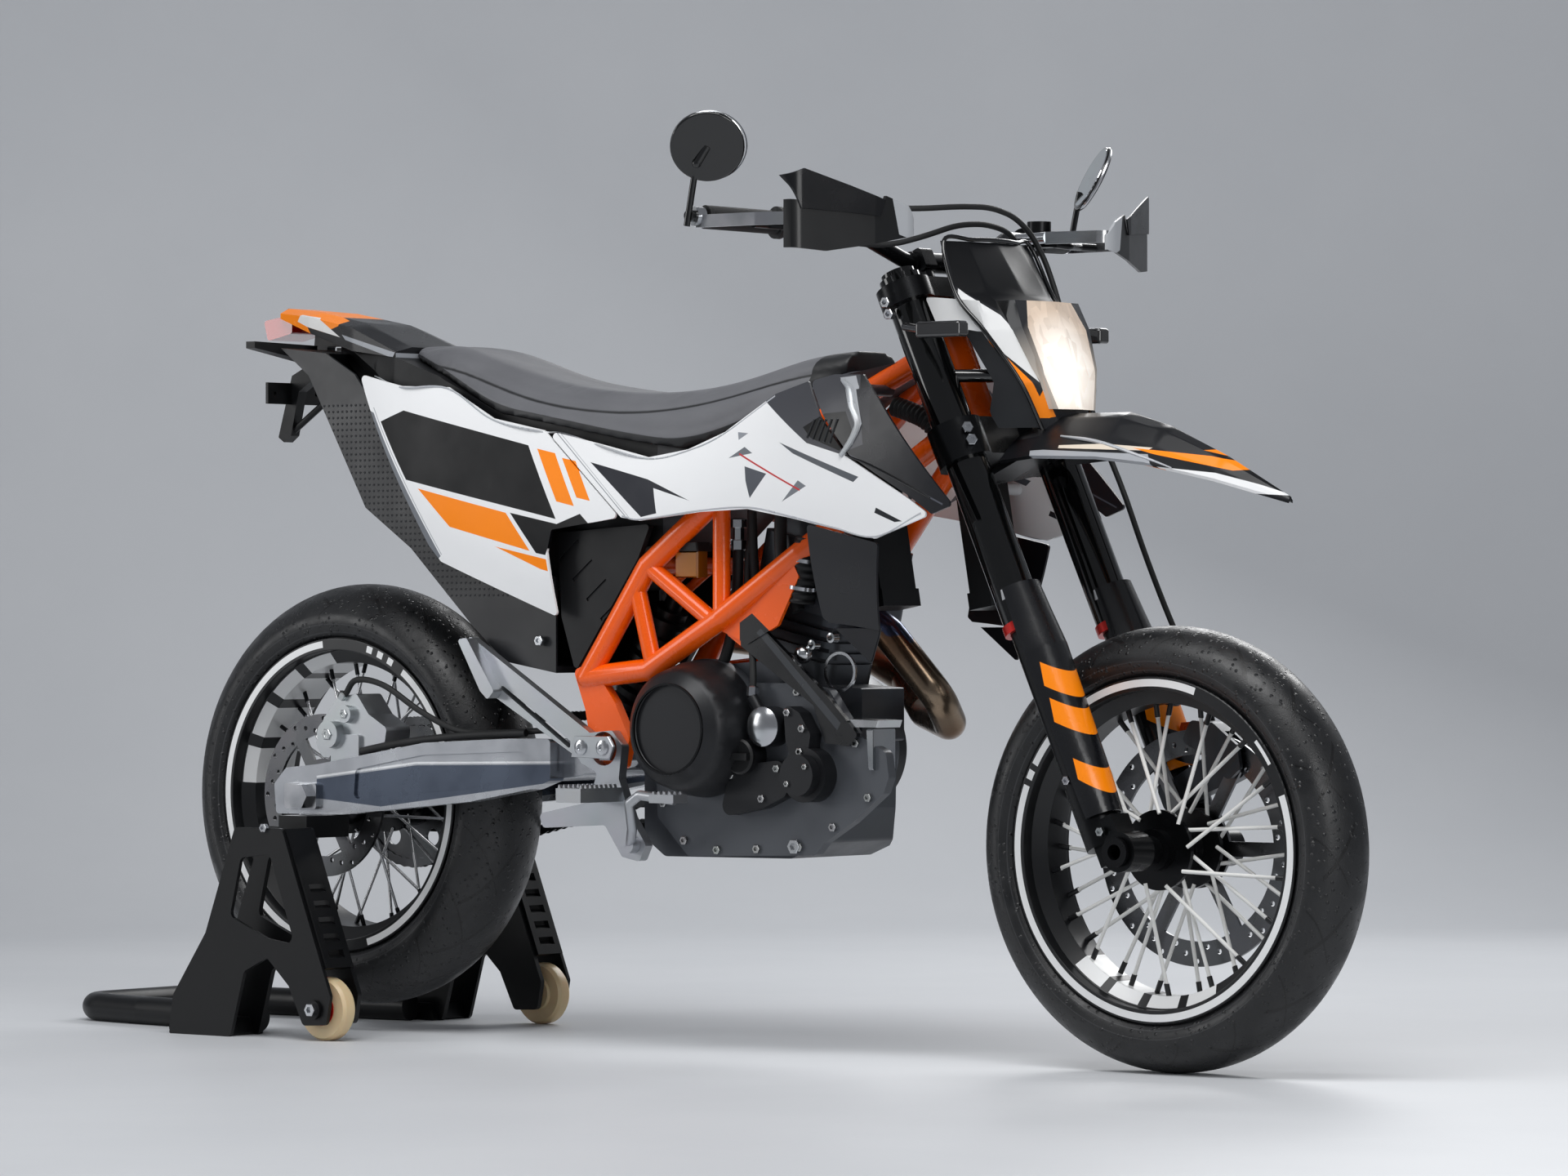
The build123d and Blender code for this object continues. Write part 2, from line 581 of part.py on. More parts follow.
def cables(*neighbours):
    """Front brake hose, looping over the mask and down the left leg, and the throttle line."""
    brake = [(1062, -232, 1147), (1084, -214, 1162), (1112, -176, 1166), (1140, -124, 1167),
             (1156, -66, 1172), (1162, 0, 1174), (1160, 56, 1164), (1158, 98, 1142), (1164, 122, 1106),
             (1178, 131, 1056), (1200, 132, 980), fork_point(36, 128, 600), fork_point(39, 129, 515),
             fork_point(37, 127, 430), fork_point(42, 120, 340), fork_point(56, 106, 250),
             fork_point(76, 88, 190), fork_point(80, 74, 150)]
    throttle = [(1044, -244, 1138), (1086, -216, 1118), (1116, -166, 1116), (1132, -110, 1130),
                (1142, -50, 1148), (1146, 6, 1152), (1144, 56, 1146), (1138, 94, 1130), (1132, 114, 1096),
                (1124, 114, 1050), (1118, 110, 1004)]
    made = []
    for route in (brake, throttle):
        path = bent_line(route)
        hose = sweep(Plane(origin=path @ 0, z_dir=path % 0) * Circle(4), path=path)
        for neighbour in neighbours:
            hose = hose - neighbour
        made.append(largest(hose))
    return Compound(made)


# ---------------------------------------------------------------- frame and engine
def tubes(points, radius):
    """Straight tubes welded end to end, with round joints."""
    body = rod(points[0], points[1], radius)
    for a, b in zip(points[1:-1], points[2:]):
        body += rod(a, b, radius)
        body += Pos(*a) * Sphere(radius)
    return body


LOWER_NODE, UPPER_NODE, FRONT_NODE = (534, 526), (647, 684), (781, 611)
HEAD_LOW = fork_point(STEER_U, 0, LOWER_CLAMP[1] + 4)
HEAD_HIGH = fork_point(STEER_U, 0, UPPER_CLAMP[0] - 4)


def upper_rail(h):
    """Route of the frame's upper tube, from the pivot plate to the steering head."""
    x, _, z = fork_point(STEER_U, 0, 780)
    return [(LOWER_NODE[0], h, LOWER_NODE[1]), (UPPER_NODE[0], h, UPPER_NODE[1]),
            (750, h - 6, 764), (930, h * 0.62, 886), (x, 14, z)]


def lower_rail(h):
    """Route of the frame's lower tube."""
    x, _, z = fork_point(STEER_U, 0, 672)
    return [(LOWER_NODE[0], h, LOWER_NODE[1]), (650, h, 538), (FRONT_NODE[0], h, FRONT_NODE[1]),
            (912, h - 12, 700), (x, 14, z)]


def frame():
    """Steel trellis: head tube, two rails a side with braces, and swingarm pivot plates."""
    h, r = FRAME_HALF, FRAME_BRACE_R
    side = tubes(upper_rail(h), FRAME_TUBE_R) + tubes(lower_rail(h), FRAME_TUBE_R)
    side += Pos(LOWER_NODE[0], h, LOWER_NODE[1]) * Sphere(FRAME_TUBE_R)
    side += rod((FRONT_NODE[0], h, FRONT_NODE[1]), (774, h - 9, 780), r)
    side += rod((UPPER_NODE[0], h, UPPER_NODE[1]), (768, h, 604), r)
    side += rod((626, h, 655), (657, h, 541), r)
    plate = outline([(514, 536), (546, 548), (590, 492), (618, 440), (606, 398), (566, 396),
                     (546, 430), (536, 480)], 8)
    side += slab(plate, h - 8, h + 8)
    gusset = outline([(768, 596), (905, 690), (918, 668), (880, 600), (826, 574), (790, 588)], 6)
    side += slab(gusset, h - 8, h - 2)
    both = side + mirrored(side)
    both += rod((UPPER_NODE[0], -h, UPPER_NODE[1]), (UPPER_NODE[0], h, UPPER_NODE[1]), r)
    hanger = outline([(786, 588), (806, 628), (842, 604), (958, 510), (1000, 470), (1020, 450), (1004, 434),
                      (962, 438), (942, 490)], 5)
    both += slab(hanger, 4 - h, 12 - h)
    both += rod((600, -24, 652), (UPPER_NODE[0], -24, UPPER_NODE[1]), 7)
    both += rod((600, 24, 652), (UPPER_NODE[0], 24, UPPER_NODE[1]), 7)
    head = rod(HEAD_LOW, HEAD_HIGH, HEAD_TUBE_R)
    both += head
    both -= rod(fork_point(STEER_U, 0, 600), fork_point(STEER_U, 0, 860), STEM_R + RUN_FIT)
    return both - across(PIVOT_X, PIVOT_Z, 11, -200, 200)


CLUTCH = (738, 456)          # clutch cover's centre in x and z
CRANK_HALF = 88.0            # crankcase half width


def engine():
    """Single-cylinder engine as one heavy body: crankcase, leaning cylinder and head."""
    case = outline([(612, 300), (650, 274), (880, 276), (940, 300), (962, 345), (968, 400), (962, 450),
                    (930, 500), (840, 552), (700, 540), (640, 500), (612, 440)], 14)
    plan = make_face(Polyline((500, -100), (1000, -100), (1000, 36), (968, 36), (914, CRANK_HALF + 1),
                              (500, CRANK_HALF + 1), close=True))
    body = slab(case, -CRANK_HALF, CRANK_HALF) & extrude(plan, amount=900)
    body += slab(outline([(560, 404), (560, 448), (640, 470), (640, 380)], 12), -68, 68)
    body += slab(outline([(880, 430), (985, 440), (985, 513), (880, 520)], 3), -62, 32)
    tilt = Pos(845, 0, 520) * Rot(0, 13, 0)
    body += tilt * (Pos(0, 0, 50) * fillet(Box(136, 116, 120).edges().filter_by(Axis.Z), 24))
    head = fillet(Box(170, 146, 96).edges().filter_by(Axis.Z), 20)
    body += tilt * (Pos(6, 0, 156) * head)
    body += tilt * (Pos(6, 0, 212) * fillet(Box(150, 120, 30).edges().filter_by(Axis.Z), 16))
    for n in range(4):
        body -= tilt * (Pos(0, 0, 44 + 15 * n) * (Box(200, 200, 6) - Box(122, 102, 8)))
    body += slab(outline([(640, 290), (700, 290), (700, 330), (640, 330)], 8), CRANK_HALF - 1, 108)
    return body - across(PIVOT_X, PIVOT_Z, 11, -90, 90)


def engine_covers():
    """Right-hand cover with its clutch drum, pumps and filler, and the covers opposite."""
    x, z = CLUTCH
    y0 = CRANK_HALF + 0.3
    flange = outline([(646, 420), (650, 330), (706, 276), (935, 282), (952, 300), (1003, 330), (1056, 370),
                      (1065, 392), (1060, 426), (1006, 452), (960, 512), (900, 520), (690, 520)], 10)
    right = slab(flange, -y0 - 16, -y0)
    loop = make_face(Polyline((0, -y0), (97, -y0), (97.5, -y0 - 14), (94, -y0 - 42), (83, -y0 - 82),
                              (64, -y0 - 98), (61, -y0 - 94), (0, -y0 - 94), close=True))
    right += Pos(x, 0, z) * revolve(loop, Axis.Y)
    right += across(825, 418, 25, -y0 - 42, -y0 - 10)
    boss = outline([(800, 404), (893, 414), (904, 366), (857, 346), (780, 332)], 14)
    right += slab(boss, -y0 - 36, -y0 - 10)
    right += across(866, 460, 28, -y0 - 46, -y0 - 10)
    right += rod((866, -y0 - 34, 460), (838, -y0 - 34, 500), 9)
    arc = outline([(900, 494), (928, 480), (948, 450), (942, 416), (914, 412), (904, 440)], 8)
    right += slab(arc, -y0 - 42, -y0 - 10)
    right += across(937, 394, 38, -y0 - 44, -y0 - 10) + across(937, 394, 29, -y0 - 60, -y0 - 40)
    ignition = across(835, 425, 84, y0, y0 + 34) + across(835, 425, 66, y0 + 30, y0 + 44)
    ignition += across(835, 425, 30, y0 + 40, y0 + 49)
    shield = slab(outline([(636, 505), (742, 498), (742, 382), (660, 372), (622, 400)], 16), 109, 122)
    shield += across(676, 502, 7, y0, 112) + across(739, 394, 7, y0, 112)
    cap = across(960, 536, 31, -74, -57.8) + across(960, 536, 26, -80, -70)
    cap += slab(outline([(915, 520), (990, 520), (985, 512.8), (915, 512.8)]), -62, -58)
    return together(right, ignition, shield)


def radiator():
    """Two radiator cores either side of the head, with ribbed tanks and a cross hose."""
    made = []
    for side in (-1, 1):
        at = Pos(1062, side * 121, 742) * Rot(0, -10, 0)
        core = at * Box(34, 78, 200)
        tank = at * (Pos(0, 0, 108) * Box(40, 82, 24) + Pos(0, 0, -108) * Box(40, 82, 24))
        made += (core + tank).solids()
    return Compound(made)


# ---------------------------------------------------------------- swingarm and drive
ARM = [(-60, 322), (-64, 366), (-40, 390), (24, 396), (235, 430), (400, 438), (478, 438),
       (478, 379), (440, 366), (323, 346), (75, 323)]


def swingarm():
    """Cast alloy swingarm: two deep arms, a cross tube ahead of the tyre and pivot lugs."""
    arm = slab(outline(ARM, 6), SWINGARM_INNER, SWINGARM_OUTER)
    pocket = outline([(96, 346), (100, 390), (230, 412), (430, 420), (432, 386), (322, 364)], 8)
    arm -= slab(pocket, SWINGARM_OUTER - 4, SWINGARM_OUTER + 1)
    arm -= slab(Pos(-4, REAR_AXLE_Z) * SlotOverall(60, 2 * REAR_AXLE_R + 0.04), 100, 150)
    lug = slab(outline([(488, 384), (488, 438), (575, 454), (606, 444), (612, 426), (606, 408),
                        (575, 398)], 8), 70, 111)
    cross = slab(outline([(398, 374), (398, 430), (518, 441), (518, 386)], 8), 0, SWINGARM_INNER + 1)
    half = arm + lug + cross
    return (half + mirrored(half)) - across(PIVOT_X, PIVOT_Z, 11, -150, 150)


def rear_axle():
    """Rear axle with nuts, adjuster blocks and spacers, and the swingarm pivot bolt."""
    axle = across(0, REAR_AXLE_Z, REAR_AXLE_R, -150, 150)
    for side in (-1, 1):
        low, high = sorted((side * 95.8, side * (SWINGARM_INNER - 0.02)))
        axle += across(0, REAR_AXLE_Z, 20, low, high)
        low, high = sorted((side * (SWINGARM_OUTER + 0.1), side * (SWINGARM_OUTER + 8)))
        block = slab(outline([(-36, 330), (-36, 368), (28, 368), (28, 330)], 5), low, high)
        low, high = sorted((side * (SWINGARM_OUTER + 7), side * (SWINGARM_OUTER + 20)))
        nut = slab(Pos(0, REAR_AXLE_Z) * RegularPolygon(20, 6), low, high)
        axle += block + nut
    bolt = across(PIVOT_X, PIVOT_Z, 11, -130, 130)
    for side in (-1, 1):
        low, high = sorted((side * 128.2, side * 142))
        bolt += slab(Pos(PIVOT_X, PIVOT_Z) * RegularPolygon(19, 6), low, high)
    return together(axle, bolt)


FRONT_SPROCKET = (690, 438)


def chain_path():
    """Pitch line of the chain round both sprockets, as a closed wire in x and z."""
    r1 = CHAIN_PITCH / (2 * sin(pi / REAR_TEETH))
    r2 = CHAIN_PITCH / (2 * sin(pi / FRONT_TEETH))
    (x1, z1), (x2, z2) = (0, REAR_AXLE_Z), FRONT_SPROCKET
    length = hypot(x2 - x1, z2 - z1)
    slope = atan2(z2 - z1, x2 - x1)
    lean = atan2(r1 - r2, length)
    up, down = slope + pi / 2 - lean, slope - pi / 2 + lean
    def at(cx, cz, r, a):
        return cx + r * cos(a), cz + r * sin(a)

    top = Line(at(x1, z1, r1, up), at(x2, z2, r2, up))
    front = ThreePointArc(top @ 1, at(x2, z2, r2, slope), at(x2, z2, r2, down))
    bottom = Line(front @ 1, at(x1, z1, r1, down))
    rear = ThreePointArc(bottom @ 1, at(x1, z1, r1, slope + pi), top @ 0)
    return [top, front, bottom, rear]


def drive_chain():
    """Roller chain as one fixed loop, its side plates waisted link by link."""
    legs = chain_path()
    wire = Wire(legs)
    count = 2 * round(wire.length / CHAIN_PITCH / 2)
    outer_pts, inner_pts = [], []
    for n in range(2 * count):
        t = n / (2 * count)
        point, along = wire.position_at(t), wire.tangent_at(t)
        reach = 7.2 if n % 2 == 0 else 5.4
        side = Vector(-along.Y, along.X, 0)
        outer_pts.append(tuple(point + side * reach)[:2])
        inner_pts.append(tuple(point - side * reach)[:2])
    band = make_face(Polyline(*outer_pts, close=True))
    hole = make_face(Polyline(*inner_pts, close=True))
    big, small = (band, hole) if band.area > hole.area else (hole, band)
    plate = big - small
    chain = slab(plate, CHAIN_Y + 3.3, CHAIN_Y + 5.9) + slab(plate, CHAIN_Y - 5.9, CHAIN_Y - 3.3)
    pins = []
    for leg in (legs[0], legs[2]):
        spots = int(leg.length / CHAIN_PITCH)
        for n in range(4, spots - 3):
            spot = leg.position_at(n / spots)
            pins.append(across(spot.X, spot.Y, 4.6, CHAIN_Y - 3.4, CHAIN_Y + 3.4))
    chain = chain + pins
    x, z = FRONT_SPROCKET
    pitch_r = CHAIN_PITCH / (2 * sin(pi / FRONT_TEETH))
    r, step = pitch_r + 0.4, 2 * pi / FRONT_TEETH
    gaps = [Pos(r * cos(step * n), r * sin(step * n))
            * Circle(5.3) for n in range(FRONT_TEETH)]
    small = slab(Pos(x, z) * (Circle(pitch_r + 3.4) - gaps), CHAIN_Y - 2.7, CHAIN_Y + 2.7)
    small += across(x, z, 16, CRANK_HALF + 0.3, CHAIN_Y + 8)
    return together(chain, small)


def rear_shock(arm):
    """Coil-over shock between the frame and the swingarm's cross tube."""
    low, high = Vector(500, 0, 452), Vector(600, 0, 645)
    axis = (high - low).normalized()
    body = rod(tuple(low + axis * 16), tuple(high - axis * 30), 17)
    body += rod(tuple(low + axis * 120), tuple(high - axis * 24), 25)
    body += rod(tuple(low), tuple(low + axis * 24), 14) + rod(tuple(high - axis * 30), tuple(high), 14)
    body += rod(tuple(low + axis * 24), tuple(low + axis * 30), 36)
    body += rod(tuple(high - axis * 44), tuple(high - axis * 36), 36)
    for n in range(7):
        start = low + axis * (36 + 18 * n)
        body += rod(tuple(start), tuple(start + axis * 9), 34)
    body = body + across(500, 448, 12, -18, 18) - arm
    return largest(body)


def rear_caliper():
    """Small floating caliper over the top of the rear disc, on its carrier."""
    y = -(95 + DISC_T / 2)
    block = outline([(8, 426), (24, 462), (52, 494), (90, 500), (114, 470), (150, 450), (146, 428),
                     (96, 420), (60, 406), (22, 406)], 7)
    body = slab(block, y - 28, y + 24)
    body += across(46, 440, 20, y - 44, y - 26) + across(74, 470, 13, y - 38, y - 26)
    body -= across(0, REAR_AXLE_Z, REAR_DISC_R + 6, y - 8, y + 8)
    body += slab(outline([(44, 390), (44, 440), (100, 440), (100, 396)], 4), y - 34, y - 12)
    arm = slab(outline(ARM, 6), -SWINGARM_OUTER - 1, -SWINGARM_INNER + 1)
    return largest(body - arm)


# ---------------------------------------------------------------- bodywork
SKIN = [                     # x, then (half width, height) at the foot, waist and shoulder
    (50, (104, 660), (118, 850), (92, 1010)),
    (250, (120, 580), (148, 800), (116, 1000)),
    (470, (128, 540), (152, 760), (124, 930)),
    (650, (132, 560), (158, 760), (118, 910)),
    (850, (148, 600), (178, 770), (112, 960)),
    (1050, (166, 600), (196, 760), (146, 980)),
    (1270, (176, 600), (198, 745), (160, 980)),
]


def body_skin(inset, thickness=PANEL_T):
    """The right flank as one curved wall that all the flank's panels are cut from."""
    return skin([(x, [(w - inset, z) for w, z in points]) for x, *points in SKIN], thickness)


BOSS_R = 8.0


def flank_panel(wall, behind, points, bosses, carrier, radius=5.0):
    """A panel cut from the flank's wall, with bosses inside that reach what carries it."""
    panel = wall & slab(outline(points, radius), 60, 260)
    for x, z in bosses:
        boss = (across(x, z, BOSS_R, 40, 240) & behind) - carrier
        panel += max(boss.solids(), key=lambda piece: piece.center().Y)
    return panel


REAR_PANEL = [(84, 968), (181, 948), (276, 944), (369, 897), (466, 878), (624, 752), (494, 736),
              (485, 704), (498, 612), (275, 692), (252, 715)]
FRONT_PANEL = [(470, 878), (566, 858), (668, 836), (745, 846), (814, 869), (900, 920), (962, 936),
               (1002, 886), (1064, 829), (1173, 772), (1210, 749), (1114, 718), (959, 748),
               (878, 761), (785, 758), (665, 747), (628, 752)]
SHROUD = [(967, 936), (1012, 944), (1070, 942), (1110, 906), (1248, 762), (1214, 750), (1176, 775),
          (1067, 832), (1006, 889)]
RADIATOR_COVER = [(991, 738), (998, 611), (1083, 549), (1100, 600), (1118, 712), (1000, 737)]
SIDE_COVER = [(478, 733), (486, 612), (512, 534), (630, 696), (652, 743), (497, 733)]


def side_panels(wall, behind, tank, coolers):
    """Rear and front white flank panels on both sides."""
    rear = flank_panel(wall, behind, REAR_PANEL, [(230, 870), (400, 780), (520, 790)], tank)
    front = flank_panel(wall, behind, FRONT_PANEL, [(660, 790), (1062, 790)], tank + coolers)
    return together(pair(rear), pair(front))


def upper_shrouds(wall, behind, frame_solid):
    """Dark shrouds above the front panels, held to the frame's upper rails."""
    return pair(flank_panel(wall, behind, SHROUD, [(1018, 924)], frame_solid))


def lower_covers(wall, behind, coolers):
    """Black moulded covers behind the frame and outside the radiators."""
    y = TANK_FOOT + 0.3
    cover = slab(outline(SIDE_COVER, 5), y, y + 10)
    for n in range(4):
        cover -= Pos(500 + 26 * n, y + 11, 706 - 28 * n) * Rot(0, 52, 0) * Box(5, 6, 46)
    front = flank_panel(wall, behind, RADIATOR_COVER, [(1070, 660)], coolers)
    return together(pair(cover), pair(front))


SEAT = [                     # x, top, lower edge, half width
    (135, 1010, 992, 42), (235, 1000, 962, 92), (361, 965, 905, 116), (485, 936, 884, 127),
    (606, 927, 862, 128), (707, 934, 848, 120), (800, 952, 872, 104), (890, 972, 922, 80),
    (955, 982, 948, 56),
]


def above_seat_base():
    """Everything above the line on which the seat's pan rests."""
    line = [(x, low) for x, _, low, _ in SEAT]
    ends = [(1000, line[-1][1] + 14), (1000, 1300), (134.6, 1300), (134.6, line[0][1])]
    return slab(make_face(Polyline(*line, *ends, close=True)), -200, 200)


def seat():
    """Long seat, dished for the rider, as one plain closed cushion."""
    faces = []
    for x, top, low, half in SEAT:
        crown = Spline((-half, low), (-half * 0.94, low + (top - low) * 0.62), (0, top),
                       (half * 0.94, low + (top - low) * 0.62), (half, low))
        skirt = [Line((half, low), (half, low - 30)), Line((half, low - 30), (-half, low - 30)),
                 Line((-half, low - 30), (-half, low))]
        faces.append(station(x) * make_face([crown, *skirt]))
    return loft(faces) & above_seat_base()


def core(rows):
    """Moulded body between the flanks; rows hold x, underside, top and two half widths."""
    faces = []
    for x, low, high, foot, shoulder in rows:
        knee = low + (high - low) * 0.35
        faces.append(station(x) * make_face(Polyline(
            (-foot, low), (foot, low), (foot, knee), (shoulder, knee + 16), (shoulder - 8, high),
            (8 - shoulder, high), (-shoulder, knee + 16), (-foot, knee), close=True)))
    return loft(faces, ruled=True)


TANK_FOOT = 111.7            # half width where the mudguard's walls hold it


def tank_and_air_box(tail_solid, frame_solid):
    """Rear fuel tank that carries seat and tail, and the air box ahead of it."""
    tank = core([(-10, 1002, 1028, 50, 58), (90, 930, 1008, 78, 84), (134, 872, 1000, 94, 96),
                 (250, 730, 970, TANK_FOOT, TANK_FOOT + 4), (470, 650, 900, TANK_FOOT, 118),
                 (560, 698, 880, TANK_FOOT, 118), (655, 716, 868, 98, 116)])
    box = core([(655.4, 716, 868, 98, 116), (750, 790, 866, 90, 112), (850, 858, 910, 82, 96),
                (940, 914, 950, 66, 74), (1040, 944, 956, 36, 44)])
    above = above_seat_base()
    tank, box = tank - above - tail_solid, box - above - frame_solid
    return Compound([largest(tank), largest(box)])


def tail_cowl():
    """Flat, pointed tail cover behind the seat, over the rear mudguard."""
    rows = [(134.6, 992, 1008, 88), (40, 1004, 1046, 80), (-60, 1034, 1066, 66), (-140, 1058, 1074, 44)]
    faces = [station(x) * make_face(Polyline((-w, z1), (w, z1), (w, z2 - 8), (w * 0.6, z2), (-w * 0.6, z2),
                                             (-w, z2 - 8), close=True)) for x, z1, z2, w in rows]
    return loft(faces, ruled=True)


GUARD_UNDER = [(-70, 1010), (-14, 968), (100, 772), (190, 712), (305, 604), (373, 548), (470, 532)]
GUARD_OVER = [(470, 668), (400, 690), (290, 734), (240, 762), (150, 880), (78, 968), (20, 1000)]


def rear_mudguard(tank):
    """Moulded inner mudguard: a channel open above, from the swingarm up under the tail."""
    half, wall = TANK_FOOT + 0.3, 4.0
    outer = slab(outline([*GUARD_UNDER, *GUARD_OVER]), -half - wall, half + wall)
    inner = slab(outline([*[(x + 5, z + 5) for x, z in GUARD_UNDER[1:-1]], (480, 540),
                          *[(x + 12, z + 14) for x, z in GUARD_OVER]]), -half, half)
    return largest(outer - inner - tank)


PLATE_AT = (-153.0, 947.0)   # middle of the plate's bolting flange
PLATE_BOLT_Y, PLATE_BOLT_R = 45.0, 3.0


def plate_bracket(tail_solid, lamp_solid, guard):
    """Licence plate bracket with two holes, and a slim indicator on each side of it."""
    arm = outline([(-20, 1030), (-100, 1054), (-104, 1016), (-114, 990), (-150, 974), (-178, 882),
                   (-166, 874), (-152, 884), (-136, 950), (-92, 976), (-79, 996), (-77, 1016),
                   (-20, 1015)], 2)
    arm = slab(arm, -9, 9)
    strut = rod((-158, 0, 889), (10, 0, 997), 5)
    body = largest(arm + largest(strut - guard) - tail_solid - lamp_solid - guard)
    x, z = PLATE_AT
    wing = Pos(x, 0, z) * Box(5, 2 * PLATE_BOLT_Y + 30, 32)
    for y in (-PLATE_BOLT_Y, PLATE_BOLT_Y):
        wing -= Pos(x, y, z) * Rot(0, 90, 0) * Cylinder(PLATE_BOLT_R, 20)
    body += wing + across(-88, 1002, 6, -40, 40)
    for side in (-1, 1):
        ends = [Plane(origin=(x, side * y, z), x_dir=(1, 0, 0), z_dir=(0, 1, 0)) * Rectangle(wide, tall)
                for x, y, z, wide, tall in ((-86, 38, 1003, 32, 26), (-102, 148, 1015, 18, 10))]
        body += loft(ends, ruled=True)
    return body


def tail_light():
    """Small tail lamp under the tip of the tail."""
    tail = tail_cowl()
    lamp = slab(outline([(-138, 1062), (-182, 1056), (-174, 1026), (-124, 1036), (-124, 1060)], 5), -36, 36)
    return largest(lamp - tail)


def header_pipe(engine_solid):
    """Exhaust header from the cylinder head, round the front and back along the left."""
    route = [(930, 0, 622), (986, -2, 588), (1072, 0, 500), (1052, 52, 462), (960, 112, 478),
             (900, 146, 524), (820, 166, 556), (600, 172, 578), SILENCER_START]
    return largest(pipe(route, 23, 26) - engine_solid)


SILENCER_START, SILENCER_END = (302, 182, 606), (4, 184, 694)


def silencer():
    """Oval silencer on the left with a tapered inlet and a turned-down outlet."""
    end = Vector(*SILENCER_END)
    start = Vector(*SILENCER_START) + (end - Vector(*SILENCER_START)).normalized() * 6
    axis = (end - start).normalized()
    faces = []
    for share, r in ((0, 24), (0.14, 46), (0.3, 52), (0.92, 52), (1.0, 38)):
        faces.append(Plane(origin=tuple(start + (end - start) * share), z_dir=tuple(axis)) * Circle(r))
    can = loft(faces, ruled=True)
    hanger = rod((196, 100, 753), (196, 160, 650), 8) & Pos(196, 316.4, 700) * Box(80, 400, 300)
    return can - rod(tuple(end - axis * 40), tuple(end + axis * 5), 26) + hanger


def peg_brackets():
    """Forged rider's peg brackets with pegs, and the triangular passenger brackets."""
    y = FRAME_HALF + 8.3
    plate = outline([(534, 446), (600, 452), (618, 430), (612, 384), (634, 330), (662, 292), (650, 268),
                     (618, 274), (586, 318), (470, 312), (462, 332), (556, 350), (572, 392), (540, 406)], 7)
    left_plate = outline([(534, 446), (600, 452), (618, 430), (614, 384), (626, 350), (568, 346),
                          (572, 392), (540, 406)], 7)
    triangle = outline([(560, 446), (330, 584), (312, 572), (372, 500), (546, 406)], 6)
    window = outline([(520, 436), (372, 526), (392, 506), (520, 424)], 3)
    peg = Pos(596, y + 60, 362) * (Box(46, 92, 20) - Pos(0, 6, 0) * Box(22, 62, 30))
    passenger = slab(outline([(366, 506), (380, 494), (392, 506), (340, 582), (322, 580)], 4), y + 14, y + 34)
    right = slab(triangle, y, y + 14) - slab(window, y - 1, y + 15)
    right += slab(plate, y, y + 16) + peg + passenger
    left = slab(triangle, y, y + 14) - slab(window, y - 1, y + 15) + slab(left_plate, y, y + 16) + peg
    left += passenger
    bolt = across(PIVOT_X, PIVOT_Z, 24, y - 2, y + 20)
    return together(mirrored(right - bolt), left - bolt)


def foot_controls():
    """Brake pedal on the right and gear lever on the left."""
    pedal = across(640, 292, 12, -160, -FRAME_HALF - 24.6)
    pedal += pipe([(640, -152, 292), (664, -176, 316), (684, -206, 352), (704, -207, 364),
                   (768, -207, 358)], 7, 8)
    pedal += Pos(756, -207, 360) * Box(44, 30, 12)
    lever = pipe([(660, 140, 360), (720, 158, 352), (766, 166, 350)], 6, 10)
    lever += rod((764, 156, 350), (764, 190, 350), 9) + rod((660, CRANK_HALF + 0.3, 360), (660, 148, 360), 7)
    return together(pedal, lever)


def side_stand():
    """Side stand, folded back along the left, pivoting on a lug below the engine."""
    leg = tubes([(662, 122, 308), (560, 134, 300), (404, 150, 306)], 10)
    eye = slab(Pos(670, 310) * Circle(20), 108.3, 131)
    foot = Pos(398, 150, 306) * Box(46, 34, 10)
    return leg + eye + foot


# ---------------------------------------------------------------- paddock stand
STAND_PLATE_Y = STAND_HALF - ROLLER_W / 2 - 22
STAND_OUTER_Y = STAND_HALF + ROLLER_W / 2 + 12
ROLLER_X = 135.0


def stand_plates():
    """Paddock stand's legs: two arched plates each side of a roller, joined by a slotted
    web in front, with a swingarm rest on top."""
    shape = outline([(-24, 306), (70, 306), (96, 240), (166, 66), (158, 24), (112, 22), (84, 78),
                     (40, 118), (-6, 96), (-34, 0), (-160, 0), (-150, 58), (-84, 150)], 8)
    shape -= outline([(-12, 262), (46, 268), (96, 138), (40, 146), (-34, 176)], 10)
    plate = slab(shape, STAND_PLATE_Y - 4, STAND_PLATE_Y + 4)
    outer = slab(shape, STAND_OUTER_Y - 3, STAND_OUTER_Y + 3)
    web = slab(outline([(64, 304), (72, 305), (101, 242), (155, 106), (147, 103), (93, 239)]),
               STAND_PLATE_Y + 3, STAND_OUTER_Y - 2)
    for n in range(5):
        web -= Pos(104 + 9.4 * n, (STAND_PLATE_Y + STAND_OUTER_Y) / 2, 222 - 23.6 * n) * (
            Rot(0, 21.7, 0) * Box(30, 32, 9))
    rest = Pos(36, (STAND_PLATE_Y + 118) / 2, 306) * Box(56, STAND_PLATE_Y - 118 + 8, 32.4)
    foot = outline([(-160, 0), (-40, 0), (-52, 26), (-148, 26)], 3)
    foot = slab(foot, STAND_PLATE_Y - 14, STAND_OUTER_Y + 3)
    pin = across(ROLLER_X, ROLLER_R, 8, STAND_PLATE_Y, STAND_OUTER_Y + 8)
    pin += across(ROLLER_X, ROLLER_R, 14, STAND_OUTER_Y + 2, STAND_OUTER_Y + 8)
    return pair(plate + outer + web + rest + foot + pin)


